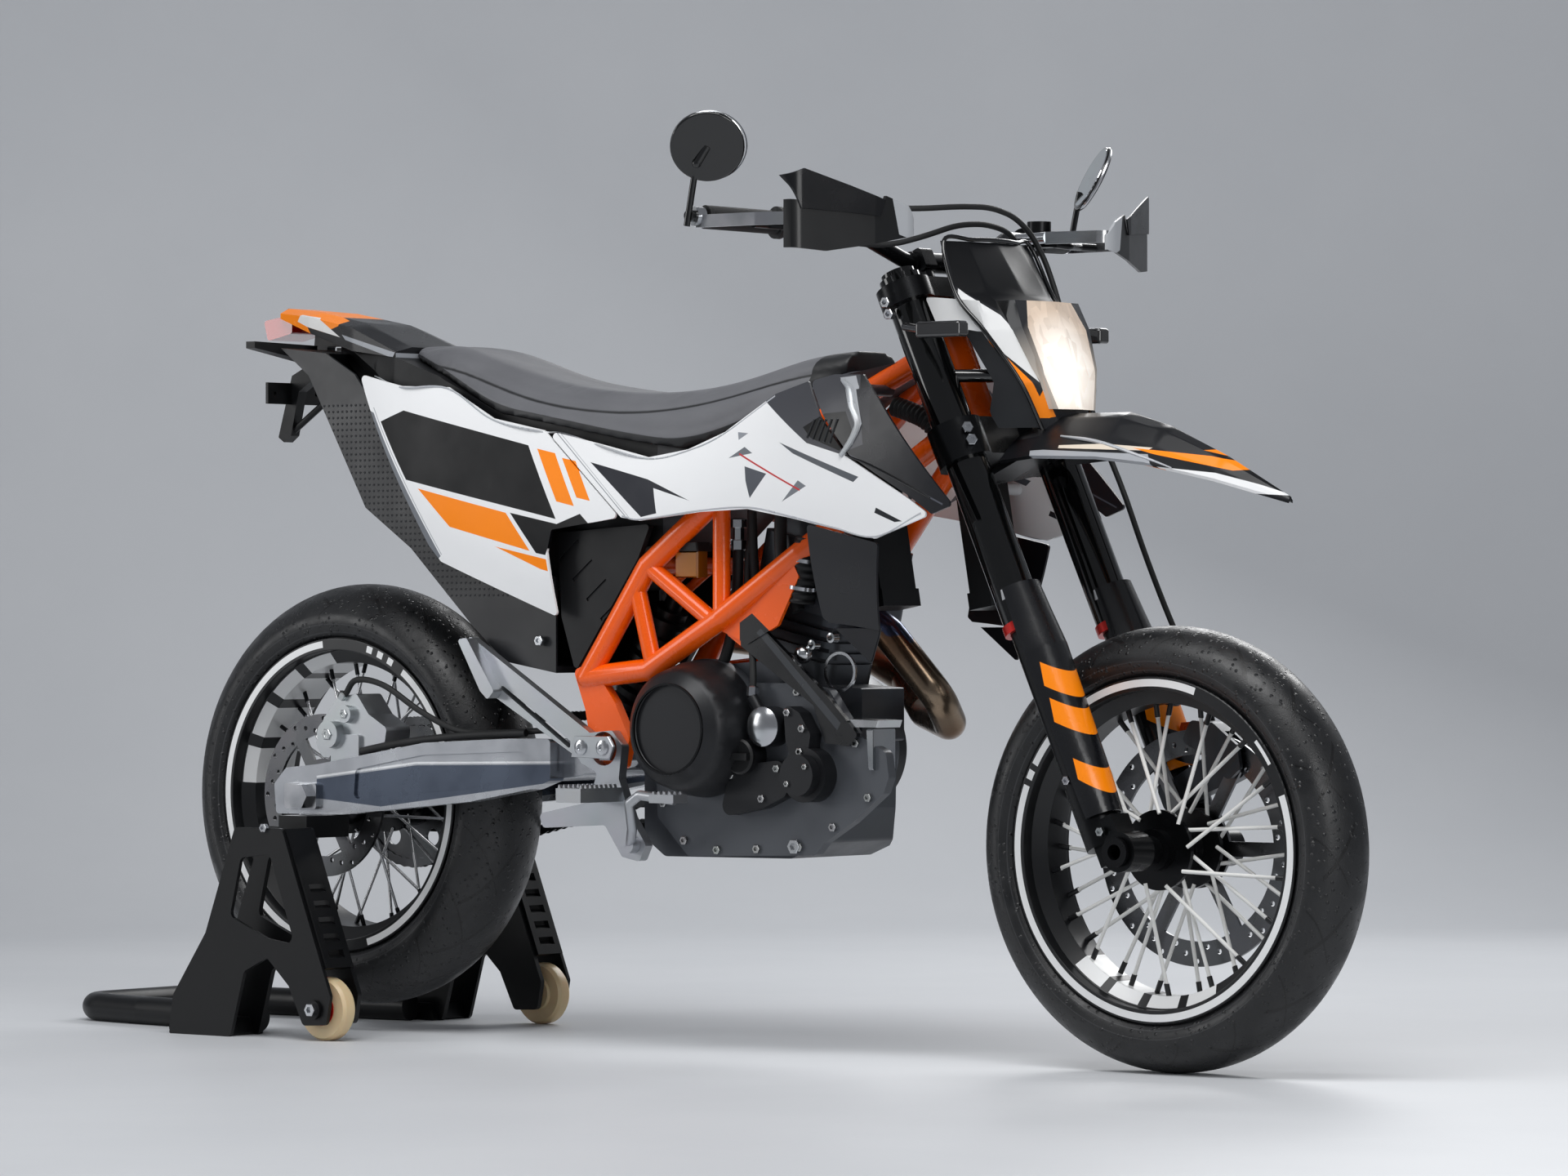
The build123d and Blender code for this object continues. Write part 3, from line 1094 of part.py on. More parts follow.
def stand_handle():
    """One bent tube from plate to plate, flat on the floor behind the tyre."""
    r, y = STAND_TUBE_R, STAND_PLATE_Y - 14 - STAND_TUBE_R - 0.3
    route = [(-70, -y, r), (-330, -y + 24, r), (HANDLE_X, -120, r),
             (HANDLE_X, 120, r), (-330, y - 24, r), (-70, y, r)]
    return pipe(route, r, 55)


def stand_rollers():
    """Rollers at the front feet of the paddock stand."""
    y1, y2 = STAND_HALF - ROLLER_W / 2, STAND_HALF + ROLLER_W / 2
    loop = Polyline((8 + RUN_FIT, y1 - 4), (24, y1 - 4), (26, y1), (ROLLER_R - 4, y1), (ROLLER_R, y1 + 6),
                    (ROLLER_R, y2 - 6), (ROLLER_R - 4, y2), (8 + RUN_FIT, y2), close=True)
    left = Pos(ROLLER_X, 0, ROLLER_R) * revolve(make_face(loop), Axis.Y)
    return mirrored(left), left


# ---------------------------------------------------------------- the assembly
def build():
    """Every named piece, in place on the motorcycle."""
    parts = {}
    parts["frame"] = frame()
    parts["engine"] = engine()
    parts["engine_covers"] = engine_covers()
    parts["radiator"] = radiator()
    parts["swingarm"] = swingarm()
    parts["rear_axle"] = rear_axle()
    parts["drive_chain"] = drive_chain()
    parts["rear_shock"] = rear_shock(parts["swingarm"])
    parts["rear_caliper"] = rear_caliper()
    parts["seat"] = seat()
    parts["tail_cowl"] = tail_cowl()
    tank = tank_and_air_box(parts["tail_cowl"], parts["frame"])
    parts["tank_and_air_box"] = tank
    wall, behind = body_skin(0), body_skin(PANEL_T / 2, 130)
    parts["side_panels"] = side_panels(wall, behind, tank, parts["radiator"])
    parts["dark_covers"] = together(upper_shrouds(wall, behind, parts["frame"]),
                                    lower_covers(wall, behind, parts["radiator"]))
    parts["rear_mudguard"] = rear_mudguard(tank)
    lamp = tail_light()
    parts["plate_bracket"] = together(plate_bracket(parts["tail_cowl"], lamp, parts["rear_mudguard"]), lamp)
    parts["exhaust"] = together(header_pipe(parts["engine"]), silencer())
    parts["foot_controls"] = together(peg_brackets(), foot_controls())
    parts["side_stand"] = side_stand()
    parts["paddock_stand"] = together(stand_plates(), stand_handle())
    parts["stand_roller_right"], parts["stand_roller_left"] = stand_rollers()
    parts["fork_tubes"], parts["fork_legs"] = fork()
    parts["fork_guards"] = fork_guards()
    parts["front_axle"] = front_axle()
    parts["front_caliper"] = front_caliper(parts["fork_legs"])
    bar, grips = handlebar()
    parts["triple_clamps"] = triple_clamps() - bar
    parts["handlebar"] = together(bar, grips)
    parts["hand_levers"] = hand_levers(bar)
    parts["hand_guards"] = hand_guards(bar)
    parts["mirrors"] = mirrors(parts["hand_guards"])
    parts["headlight"] = headlight(parts["fork_tubes"])
    parts["front_fender"] = front_fender()
    parts["front_indicators"] = front_indicators()
    parts["cables"] = cables(parts["headlight"], parts["hand_levers"], parts["fork_tubes"],
                             parts["front_caliper"], parts["triple_clamps"], bar)
    parts["headlight_mask"] = (headlight_mask() - parts["headlight"] - parts["cables"]
                               - parts["front_fender"])
    parts.update(front_wheel())
    parts.update(rear_wheel())
    return parts


def main():
    os.makedirs("parts", exist_ok=True)
    for name, shape in build().items():
        placed = Pos(-X_MID, 0, 0) * Compound(list(shape.solids()))
        export_step(placed, "parts/" + name + ".step")


main()
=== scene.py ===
# %% [markdown]
# # A supermoto motorcycle on its paddock stand
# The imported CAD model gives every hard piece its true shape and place. This lesson dresses it: studio,
# finishes, and the pieces that are too fine or too soft for CAD. Everything is in metres, with +X forwards,
# +Y to the rider's left and +Z up.

from math import cos, pi, radians, sin

import bmesh
import bpy
import numpy as np
from mathutils import Matrix, Vector


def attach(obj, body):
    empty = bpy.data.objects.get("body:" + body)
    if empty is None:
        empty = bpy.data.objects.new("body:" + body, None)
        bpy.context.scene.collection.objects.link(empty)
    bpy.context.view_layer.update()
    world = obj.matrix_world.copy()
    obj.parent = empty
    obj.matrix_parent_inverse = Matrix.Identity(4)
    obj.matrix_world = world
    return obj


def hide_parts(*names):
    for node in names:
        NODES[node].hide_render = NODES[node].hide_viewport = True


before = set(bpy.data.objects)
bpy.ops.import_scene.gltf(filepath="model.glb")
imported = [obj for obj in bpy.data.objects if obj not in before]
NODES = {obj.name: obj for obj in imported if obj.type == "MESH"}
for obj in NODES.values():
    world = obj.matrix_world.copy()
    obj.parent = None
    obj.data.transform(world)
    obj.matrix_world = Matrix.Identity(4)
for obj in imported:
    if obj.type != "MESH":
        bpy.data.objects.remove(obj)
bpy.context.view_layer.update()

# %% [markdown]
# ## Studio
# A long lens far away keeps the wheels round. The floor is one pale sheet that curves up behind the
# motorcycle, so no horizon line shows. Large soft lamps lie above and beside it, as in a studio.
# Shiny black paint shows only what it mirrors, so the big lamps double as white reflections.

# %% Camera
CAMERA_PLACE = Vector((5.7961, -6.9159, 0.6257))
LOOK_YAW, LOOK_PITCH, LOOK_ROLL = 2.2545, 0.0030, -0.0015
LENS_MM, SENSOR_MM = 145.4, 36.0

ahead = Vector((cos(LOOK_PITCH) * cos(LOOK_YAW), cos(LOOK_PITCH) * sin(LOOK_YAW), sin(LOOK_PITCH)))
right = ahead.cross(Vector((0, 0, 1))).normalized()
over = right.cross(ahead)
right, over = right * cos(LOOK_ROLL) + over * sin(LOOK_ROLL), over * cos(LOOK_ROLL) - right * sin(LOOK_ROLL)
camera_data = bpy.data.cameras.new("camera")
camera_data.lens, camera_data.sensor_width = LENS_MM, SENSOR_MM
camera_data.clip_end = 100
camera = bpy.data.objects.new("camera", camera_data)
camera.matrix_world = Matrix.Translation(CAMERA_PLACE) @ Matrix((right, over, -ahead)).transposed().to_4x4()
bpy.context.scene.collection.objects.link(camera)
bpy.context.scene.camera = camera
print("camera looks along", [round(v, 3) for v in ahead])


# %% Meshes from arrays
def new_mesh(name, points, faces, smooth=True):
    """A mesh object from an (n, 3) array of points and an (m, 3 or 4) array of corner numbers."""
    mesh = bpy.data.meshes.new(name)
    mesh.from_pydata(np.asarray(points, float).tolist(), [], np.asarray(faces).tolist())
    mesh.update()
    if smooth:
        mesh.polygons.foreach_set("use_smooth", np.ones(len(mesh.polygons), bool))
    obj = bpy.data.objects.new(name, mesh)
    bpy.context.scene.collection.objects.link(obj)
    return obj


def grid_faces(rows, columns, close_rows=False, close_columns=False):
    """Four corners for each cell of a grid whose point number is row * columns + column."""
    i, j = np.meshgrid(np.arange(rows - (not close_rows)), np.arange(columns - (not close_columns)),
                       indexing="ij")
    up, on = (i + 1) % rows, (j + 1) % columns
    corners = (i * columns + j, up * columns + j, up * columns + on, i * columns + on)
    return np.stack(corners, -1).reshape(-1, 4)


# %% Floor and lamps
SWEEP_START, SWEEP_R, SWEEP_TOP, SWEEP_FRONT = 3.2, 1.6, 4.0, -16.0
SKY = 0.23               # strength of the even light from all round


def studio_sheet(width=26.0, steps=60):
    """Floor and backdrop: flat, then a quarter circle of radius SWEEP_R, then upright, along the view."""
    along = np.array([ahead.x, ahead.y, 0]) / np.hypot(ahead.x, ahead.y)
    aside = np.array([-along[1], along[0], 0])
    turn = np.linspace(0, pi / 2, steps)
    run = np.concatenate([[SWEEP_FRONT], SWEEP_START + SWEEP_R * np.sin(turn), [SWEEP_START + SWEEP_R]])
    rise = np.concatenate([[0.0], SWEEP_R * (1 - np.cos(turn)), [SWEEP_TOP + SWEEP_R]])
    across = np.array([-width / 2, width / 2])
    points = (along * run[:, None, None] + aside * across[None, :, None]
              + np.array([0, 0, 1]) * rise[:, None, None])
    return new_mesh("studio_sheet", points.reshape(-1, 3), grid_faces(len(run), 2))


sheet = studio_sheet()


def soft_lamp(name, place, target, size, power, colour=(1, 1, 1)):
    """Rectangular lamp that faces its target."""
    data = bpy.data.lights.new(name, "AREA")
    data.shape, data.size, data.size_y, data.energy, data.color = "RECTANGLE", size[0], size[1], power, colour
    lamp = bpy.data.objects.new(name, data)
    away = (Vector(place) - Vector(target)).normalized()
    lamp.matrix_world = Matrix.Translation(place) @ away.to_track_quat("Z", "Y").to_matrix().to_4x4()
    bpy.context.scene.collection.objects.link(lamp)


soft_lamp("key_overhead", (0.9, -1.6, 3.6), (0.1, -0.1, 0.5), (3.4, 1.6), 104)
soft_lamp("front_side", (4.6, -1.6, 1.9), (0.5, 0, 0.6), (1.6, 2.2), 48)
soft_lamp("rear_side", (-3.4, -3.0, 1.8), (-0.5, 0, 0.6), (1.4, 2.4), 40)
soft_lamp("far_rim", (-0.6, 3.4, 2.6), (0, 0, 0.7), (3.0, 1.0), 70)
world = bpy.data.worlds.new("studio_world")
bpy.context.scene.world = world
world.use_nodes = True
world.node_tree.nodes["Background"].inputs["Color"].default_value = (0.9, 0.93, 1.0, 1)
world.node_tree.nodes["Background"].inputs["Strength"].default_value = SKY
bpy.context.scene.view_settings.view_transform = "Standard"

# %% [markdown]
# ## Finishes
# A finish starts from what the real material is and how its surface was made. Each one below has a base
# colour, how much it is metal, how rough it is, and a fine grain whose size is a real one in millimetres.
# Large slow variation in roughness stands for handling and dust: without it, plastic looks like wax.
# Places on the motorcycle are given in millimetres forward of the rear axle, to the left and above the floor.

# %% One node, one material
AXLE_MM = 634.5          # the rear axle lies this far behind the frame's origin


def metres(points):
    """Millimetres from the rear axle, the middle and the floor, as metres in the frame."""
    return (np.asarray(points, float) - (AXLE_MM, 0, 0)) / 1000


def add(kind, settings=(), tree=None, **inputs):
    """Adds one shader node: settings are its own properties, inputs its sockets, by name or as i0, i1.
    A value is a socket, a number, a triple or a hex colour. The tree is that of its first socket."""
    tree = tree or next(v.id_data for v in inputs.values() if isinstance(v, bpy.types.NodeSocket))
    made = tree.nodes.new("ShaderNode" + kind)
    for name, value in dict(settings).items():
        setattr(made, name, value)
    for name, value in inputs.items():
        key = int(name[1:]) if name[1:].isdigit() else name.replace("_", " ")
        if isinstance(value, bpy.types.NodeSocket):
            tree.links.new(value, made.inputs[key])
        else:
            made.inputs[key].default_value = linear(value) if isinstance(value, str) else value
    return made


def calc(operation, *values, clamp=False):
    """One step of arithmetic on sockets or numbers."""
    made = add("Math", {"operation": operation, "use_clamp": clamp},
               **{f"i{n}": value for n, value in enumerate(values)})
    return made.outputs[0]


def vector(operation, *values, **more):
    """One step of arithmetic on places: a number for a length or a product, else a place."""
    made = add("VectorMath", {"operation": operation},
               **{f"i{n}": value for n, value in enumerate(values)}, **more)
    return made.outputs["Value" if operation in ("DOT_PRODUCT", "LENGTH", "DISTANCE") else "Vector"]


def xyz(place):
    """The three parts of a place."""
    return add("SeparateXYZ", i0=place).outputs


def joined(*parts):
    """A place from its three parts."""
    return add("CombineXYZ", **{f"i{n}": part for n, part in enumerate(parts)}).outputs[0]


def noise(place, scale, detail=2.0, rough=0.5):
    """Cloudy noise from 0 to 1."""
    return add("TexNoise", Vector=place, Scale=scale, Detail=detail, Roughness=rough).outputs["Fac"]


def laid(cover, below, above):
    """One colour over another where cover is 1."""
    return add("MixRGB", i0=cover, i1=below, i2=above).outputs[0]


def linear(code):
    """An sRGB hex colour such as 'ff7a1a' as the linear colour that the renderer counts in."""
    parts = np.array([int(code[i:i + 2], 16) for i in (0, 2, 4)]) / 255
    made = np.where(parts <= 0.04045, parts / 12.92, ((parts + 0.055) / 1.055) ** 2.4)
    return (*made.tolist(), 1.0)


def coordinates(tree):
    """Place on the piece in metres."""
    return add("TexCoord", tree=tree).outputs["Object"]


def finish(name, colour, rough, metal=0.0, grain=None, wear=0.06, patches_mm=90.0, shine=0.5, coat=0.0,
           paint=None, areas=(), front=False, relief=None, **shader):
    """A material: grain is (size in mm, bump depth in mm); wear moves the roughness in slow patches;
    shine is the specular level. paint is a function of (place, colour) that returns a colour socket, areas
    are shapes painted over the colour, and relief is a function of a place that returns a height socket and
    the depth in mm that a height of 1 means."""
    material = bpy.data.materials.new(name)
    material.use_nodes = True
    tree, paint = material.node_tree, painted(*areas, front=front) if areas else paint
    principled = tree.nodes["Principled BSDF"]
    place = coordinates(tree)
    for key, value in {"Metallic": metal, "Specular_IOR_Level": shine, "Coat_Weight": coat, **shader}.items():
        principled.inputs[key.replace("_", " ")].default_value = value
    patches = add("TexNoise", Vector=place, Scale=1000 / patches_mm, Detail=4.0, Roughness=0.6)
    spread = add("MapRange", i0=patches.outputs["Fac"], i1=0.3, i2=0.7, i3=rough - wear, i4=rough + wear)
    tree.links.new(spread.outputs[0], principled.inputs["Roughness"])
    if paint is None:
        tint = add("MixRGB", {"blend_type": "MULTIPLY"}, i0=0.12, i1=colour, i2=patches.outputs["Color"])
        tree.links.new(tint.outputs[0], principled.inputs["Base Color"])
    else:
        tree.links.new(paint(place, colour), principled.inputs["Base Color"])
    bump = None
    if relief:
        height, depth_mm = relief(place)
        bump = add("Bump", Height=height, Strength=1.0, Distance=depth_mm / 1000)
    if grain:
        size_mm, depth_mm = grain
        below = {"Normal": bump.outputs["Normal"]} if bump else {}
        bump = add("Bump", Height=noise(place, 1000 / size_mm), Strength=1.0,
                   Distance=depth_mm / 1000, **below)
    if bump:
        tree.links.new(bump.outputs["Normal"], principled.inputs["Normal"])
    return material


# %% [markdown]
# ## Painted shapes
# The panels carry flat graphics: slanted bands, wedges and a blank black plate area; a few shapes are painted
# shade and painted highlights instead. Each shape is a convex outline in the side view, or in the front view
# for the mask. A point lies inside it when it lies on the inner side of every edge, so the cover is the least
# of its distances to the edges, cut off at 0 and 1.
# The same shapes show on both sides of the motorcycle, because only the distance from its middle counts.


# %% Areas, rings and lines
def both_sides(place):
    """The place with its left-right part made positive."""
    x, y, z = xyz(place)
    return joined(x, calc("ABSOLUTE", y), z)


def inside(place, corners, front=False, soft_mm=0.5):
    """1 within a convex outline of (x, z) corners in mm, or (|y|, z) ones in the front view, 0 outside."""
    flat = (np.array(corners, float) - ((0 if front else AXLE_MM), 0)) / 1000
    middle_point, sharp, least = flat.mean(0), 1000 / soft_mm, None
    for start, end in zip(flat, np.roll(flat, -1, axis=0)):
        normal = np.array([start[1] - end[1], end[0] - start[0]]) / np.hypot(*(end - start))
        normal *= sharp * np.sign((middle_point - start) @ normal)
        weights = (0, normal[0], normal[1]) if front else (normal[0], 0, normal[1])
        reach = calc("ADD", vector("DOT_PRODUCT", place, weights), float(0.5 - start @ normal))
        least = reach if least is None else calc("MINIMUM", least, reach)
    return calc("ADD", least, 0.0, clamp=True)


def painted(*areas, front=False):
    """Paint with areas over the base colour, each as (hex colour, outline in mm)."""
    def paint(place, colour):
        place = both_sides(place)
        for code, outline in areas:
            colour = laid(inside(place, outline, front), colour, code)
        return colour
    return paint


def about(place, axle):
    """Radius in mm, turn in radians and sideways distance in mm of a place about a wheel's axle."""
    x, y, z = xyz(vector("SUBTRACT", place, metres(axle).tolist()))
    radius = vector("LENGTH", joined(x, 0.0, z))
    return (calc("MULTIPLY", radius, 1000.0), calc("ARCTAN2", z, x),
            calc("MULTIPLY", calc("ABSOLUTE", y), 1000.0))


def within(value, low, high):
    """1 where low < value < high, else 0."""
    return calc("COMPARE", value, (low + high) / 2, (high - low) / 2)


def both(*covers):
    """1 where all the covers are 1."""
    made = covers[0]
    for cover in covers[1:]:
        made = calc("MULTIPLY", made, cover)
    return made


def ringed(axle, *rings):
    """Paint of a wheel part: rings as (hex colour, inner radius, outer radius, least and greatest turn)."""
    def paint(place, colour):
        radius, turn, _ = about(place, axle)
        for code, low, high, start, stop in rings:
            cover = both(within(radius, low, high), within(turn, start, stop))
            colour = laid(cover, colour, code)
        return colour
    return paint


FRONT_AXLE, REAR_AXLE, WHOLE = (1470, 0, 300), (0, 0, 349), (-4.0, 4.0)
RIM_BLACK, RIM_WHITE = "151618", "e9eaea"


def rim_paint(axle, gaps, bars, starts, length):
    """Black rim: a white line with gaps, white bars in the gaps, and white blocks inside it, each of them
    length radians long."""
    return ringed(axle, (RIM_WHITE, 219, 229, *WHOLE), *[(RIM_BLACK, 210, 235, *gap) for gap in gaps],
                  *[(RIM_WHITE, *bar) for bar in bars],
                  *[(RIM_WHITE, 190, 212, start, start + length) for start in starts])


GROOVE_LEAN, GROOVE_MM = 0.016, 4.0      # turns of the pattern per mm sideways, and depth


def grooves(place, axle, radius, half_width, repeats):
    """1 in a tyre's slanted grooves and in its finer cross sipes: both repeat round the tyre and lean with
    the distance from its middle, one way and the other."""
    reach, turn, aside = about(place, axle)
    lean = calc("MULTIPLY", aside, GROOVE_LEAN)
    count = calc("MULTIPLY", turn, repeats / (2 * pi))
    wave = calc("FRACT", calc("ADD", calc("ADD", count, lean), 40.0))
    broad = both(within(wave, 0.46, 0.54), within(aside, 8, half_width * 0.84))
    second = calc("FRACT", calc("ADD", calc("SUBTRACT", count, lean), 40.9))
    fine = both(within(second, 0.20, 0.235), within(aside, half_width * 0.3, half_width))
    return both(calc("MAXIMUM", broad, fine),
                calc("GREATER_THAN", reach, radius - half_width * 0.62))


def tread(*tyre):
    """Tyre relief: its grooves, and water drops as small domes in about a third of a cell pattern."""
    def relief(place):
        cells = add("TexVoronoi", Vector=place, Scale=150.0)
        chosen = calc("GREATER_THAN", xyz(cells.outputs["Color"])[0], 0.62)
        drop = calc("SUBTRACT", 0.4, cells.outputs["Distance"], clamp=True)
        height = calc("SUBTRACT", 1.0, grooves(place, *tyre))
        return calc("ADD", height, calc("MULTIPLY", drop, chosen)), GROOVE_MM
    return relief


def tyre_paint(axle, *size):
    """Tyre colour: greyer in soft worn blotches, painted shade (near black) in the grooves, two ribs on the
    wall.
    """
    def paint(place, colour):
        reach, _, aside = about(place, axle)
        rubber = laid(noise(place, 26.0, 6.0, 0.7), colour, "1f2022")
        ribs = calc("MAXIMUM", within(reach, 240, 241.4), within(reach, 252, 253))
        rubber = laid(calc("MULTIPLY", ribs, 0.7), rubber, "3a3b3d")
        # Painted shade: the grooves are painted near black.
        return laid(grooves(place, axle, *size), rubber, "020203")
    return paint


def rings_across(pitch_mm):
    """Relief of round ribs across the machine, such as a grip's."""
    def relief(place):
        return calc("SINE", calc("MULTIPLY", xyz(place)[1], 2 * pi * 1000 / pitch_mm)), 0.5
    return relief


def dots(low_z, high_z, pitch_mm):
    """Relief of small moulded dots in a square pattern, between two heights."""
    def relief(place):
        x, _, z = xyz(vector("FRACTION", vector("SCALE", place, Scale=1000 / pitch_mm)))
        far = vector("DISTANCE", joined(x, 0.5, z), (0.5, 0.5, 0.5))
        dome = calc("SUBTRACT", 0.24, far, clamp=True)
        return both(dome, within(xyz(place)[2], low_z / 1000, high_z / 1000)), 3.0
    return relief


# %% [markdown]
# ## The shapes on each panel
# The rear panel has the blank plate area, two slanted orange bands in front of it, an orange band below and
# a fine double line where the next panel starts. The front panel has a dark wedge, grey shards, a thin red
# pinstripe.

# %% Graphics
ORANGE, INK = "ff8a04", "07080b"
COVER_AREAS = (
    ("46474c", [(880, 912), (984, 850), (1048, 834), (1090, 846), (1060, 960), (880, 990)]),
    # Painted shade: the near-black opening behind the silver strip stands for a shaded cavity; the five
    # lighter lines in it are painted highlights on the fins.
    ("08090a", [(972, 872), (990, 857), (1048, 838), (1070, 862), (1050, 892), (1010, 890)]),
    *[("5b5d62", [(x + 982, 857 - 2 * n), (x + 985, 856 - 2 * n), (x + 994, 882), (x + 991, 883)])
      for n, x in enumerate(range(0, 55, 11))],
    *[("b9bcc0", corners) for corners in (
        [(1025, 939), (1037, 930), (1066, 926), (1056, 941)],
        [(1037, 931), (1054, 896), (1076, 896), (1066, 927)],
        [(1054, 897), (1071, 874), (1084, 874), (1076, 897)],
        [(1071, 875), (1062, 852), (1071, 846), (1084, 875)],
        [(1062, 853), (1048, 834), (1054, 828), (1071, 847)])],
)
SHROUD_AREAS = (
    *COVER_AREAS,
    # Painted highlights: thin lighter lines along the shroud's crease, where it catches the light.
    *[("4d4f57", corners) for corners in (
        [(1058, 833), (1104, 816.5), (1104, 819), (1059, 836)],
        [(1103, 817), (1160, 794), (1161, 796.5), (1104, 819.5)],
        [(1159, 794.5), (1232, 762), (1233, 764), (1160, 797)])],
    ("1f2026", [(1062, 922), (1084, 874), (1100, 860), (1090, 925)]),
)
PANEL_AREAS = (
    *COVER_AREAS,
    (INK, [(146, 897), (193, 912), (441, 857), (502, 751), (207, 811)]),
    (ORANGE, [(458, 852), (492, 845), (536, 769), (502, 776)]),
    (ORANGE, [(506, 838), (532, 833), (566, 776), (540, 781)]),
    (ORANGE, [(232, 798), (406, 761), (452, 706), (296, 742)]),
    (INK, [(414, 761), (504, 744), (482, 700), (464, 703)]),
    (INK, [(504, 744), (548, 758), (565, 744), (493, 731)]),
    (ORANGE, [(385, 713), (483, 694), (486, 677), (472, 680)]),
    ("85898f", [(479, 883), (481, 883), (645, 747), (643, 747)]),
    ("b4b7bb", [(484, 884), (485.5, 884), (650, 747), (648.5, 747)]),
    ("171a24", [(560, 831), (674, 805), (687, 793), (697, 757), (667, 752)]),
    ("171a24", [(674, 805), (761, 774), (685, 793)]),
    ("8e9298", [(841, 868), (863, 866), (846, 857)]),
    ("6c7076", [(861, 847), (832, 832), (879, 838)]),
    ("4b4f57", [(863, 821), (912, 809), (879, 772), (872, 800)]),
    ("74787e", [(974, 799), (945, 770), (990, 791)]),
    ("54585e", [(930, 852), (1086, 802), (1077, 795), (960, 836)]),
    ("26282c", [(1118, 760), (1163, 741), (1150, 740), (1115, 753)]),
    ("c23036", [(852, 839), (853, 836), (979, 784), (978, 787)]),
    ("74787e", [(60, 935), (112, 916), (124, 916), (275, 700), (262, 690), (60, 900)]),
    ("b4b7bb", [(126, 918), (128, 918), (278, 702), (276, 702)]),
)
MASK_AREAS = (
    (INK, [(0, 1132), (94, 1127), (106, 1062), (60, 1018), (0, 1024)]),
    ("dfe0e0", [(103, 1058), (72, 1021), (58, 929), (106, 986), (114, 1033)]),
    (ORANGE, [(107, 990), (98, 970), (53, 881), (42, 881), (64, 925)]),
    (ORANGE, [(52, 921), (36, 883), (44, 881), (58, 905)]),
)
FENDER_AREAS = (
    ("d9cdbd", [(1332, 843), (1400, 844), (1466, 838), (1462, 834), (1334, 839)]),
    ("9da0a5", [(1290, 836), (1312, 837), (1466, 829), (1485, 805), (1322, 803)]),
    (ORANGE, [(1321, 823), (1414, 819), (1322, 815)]),
    (ORANGE, [(1441, 838), (1543, 826), (1621, 809), (1578, 806), (1473, 829)]),
    (ORANGE, [(1530, 834), (1567, 838), (1624, 809)]),
    ("e3e4e5", [(1485, 812), (1560, 803), (1676, 771), (1600, 776), (1512, 794)]),
    (ORANGE, [(1469, 814), (1496, 808), (1514, 793)]),
    (INK, [(1582, 799), (1628, 809), (1705, 764), (1676, 768)]),
)
GUARD_AREAS = (
    (ORANGE, [(1350, 552), (1398, 530), (1407, 498), (1359, 520)]),
    (ORANGE, [(1367, 504), (1415, 482), (1424, 450), (1376, 472)]),
    (ORANGE, [(1404, 424), (1446, 404), (1452, 374), (1413, 396)]),
    (ORANGE, [(1349, 628), (1353, 627), (1386, 548), (1378, 551)]),
    ("c8401c", [(1421, 546), (1424, 546), (1459, 467), (1455, 467)]),
)
TAIL_AREAS = (
    (ORANGE, [(-150, 1061), (-125, 1090), (10, 1050), (8, 1042), (-52, 1027)]),
    ("e6e6e4", [(-92, 1052), (-84, 1062), (-40, 1056), (12, 1025), (-65, 1043)]),
    (INK, [(-65, 1043), (12, 1025), (-30, 1010), (-52, 1027)]),
    ("5d6167", [(-150, 1062), (-143, 1059), (-46, 1021), (-20, 1000), (-40, 995), (-150, 1040)]),
    # Painted highlight: a light grey band along the tail's top edge.
    ("9a9ea4", [(16, 1029), (160, 992), (160, 982), (24, 1021)]),
)
# Painted shade: the darker blue-grey panel on the arm's side; painted highlights: the thin near-white lines
# along its top edge.
ARM_AREAS = (("565e6c", [(22, 374), (216, 397), (478, 402), (478, 376), (150, 336), (22, 346)]),
             ("e9ebed", [(22, 376), (216, 399), (216, 402), (22, 379)]),
             ("e9ebed", [(216, 399), (478, 404), (478, 406.5), (216, 402)]))
TUBE_AREAS = (("d8d9db", [(1283, 634), (1280, 648), (1338, 671), (1342, 658)]),
              (INK, [(1296, 645), (1300, 654), (1304, 655), (1300, 646)]),
              (INK, [(1306, 649), (1310, 658), (1314, 659), (1310, 650)]))
FRAME_AREAS = (
    ("0b0c0e", [(812, 604), (834, 617), (905, 562), (1030, 455), (1012, 425), (942, 430), (812, 555)]),
    ("34373b", [(842, 590), (850, 596), (990, 466), (984, 456)]),
)
SHELL_AREAS = (("a9acb0", [(212, 1180), (262, 1180), (250, 1124), (212, 1112)]),)
print("areas", sum(map(len, (PANEL_AREAS, MASK_AREAS, FENDER_AREAS, GUARD_AREAS, TAIL_AREAS))))


SEAM_DEPTH_MM = 30.0


def stitched(place, colour):
    """Seat cover: darker in the seam groove and the lower trim. The mesh carries, in mm, the depth below the
    crown and the height above the base."""
    below, above = (add("Attribute", {"attribute_name": name}, place.id_data).outputs["Fac"]
                    for name in ("below_crown", "above_base"))
    off = calc("ABSOLUTE", calc("SUBTRACT", below, SEAM_DEPTH_MM))
    line = calc("SUBTRACT", 1.4, calc("MULTIPLY", off, 0.5), clamp=True)
    seam = calc("MAXIMUM", line, calc("SUBTRACT", 12.0, above, clamp=True))
    cloth = laid(noise(place, 9.0, 5.0), colour, "55565a")
    nose = inside(place, [(912, 1100), (900, 900), (1000, 900), (1000, 1100)])
    return laid(nose, laid(seam, cloth, "1d1e20"), "1a1b1d")


LENS_BACK_MM = 1246 - AXLE_MM


def lamp_share(place):
    """1 on the lens, 0 on the lamp's black carrier behind it."""
    return calc("GREATER_THAN", xyz(place)[0], LENS_BACK_MM / 1000)


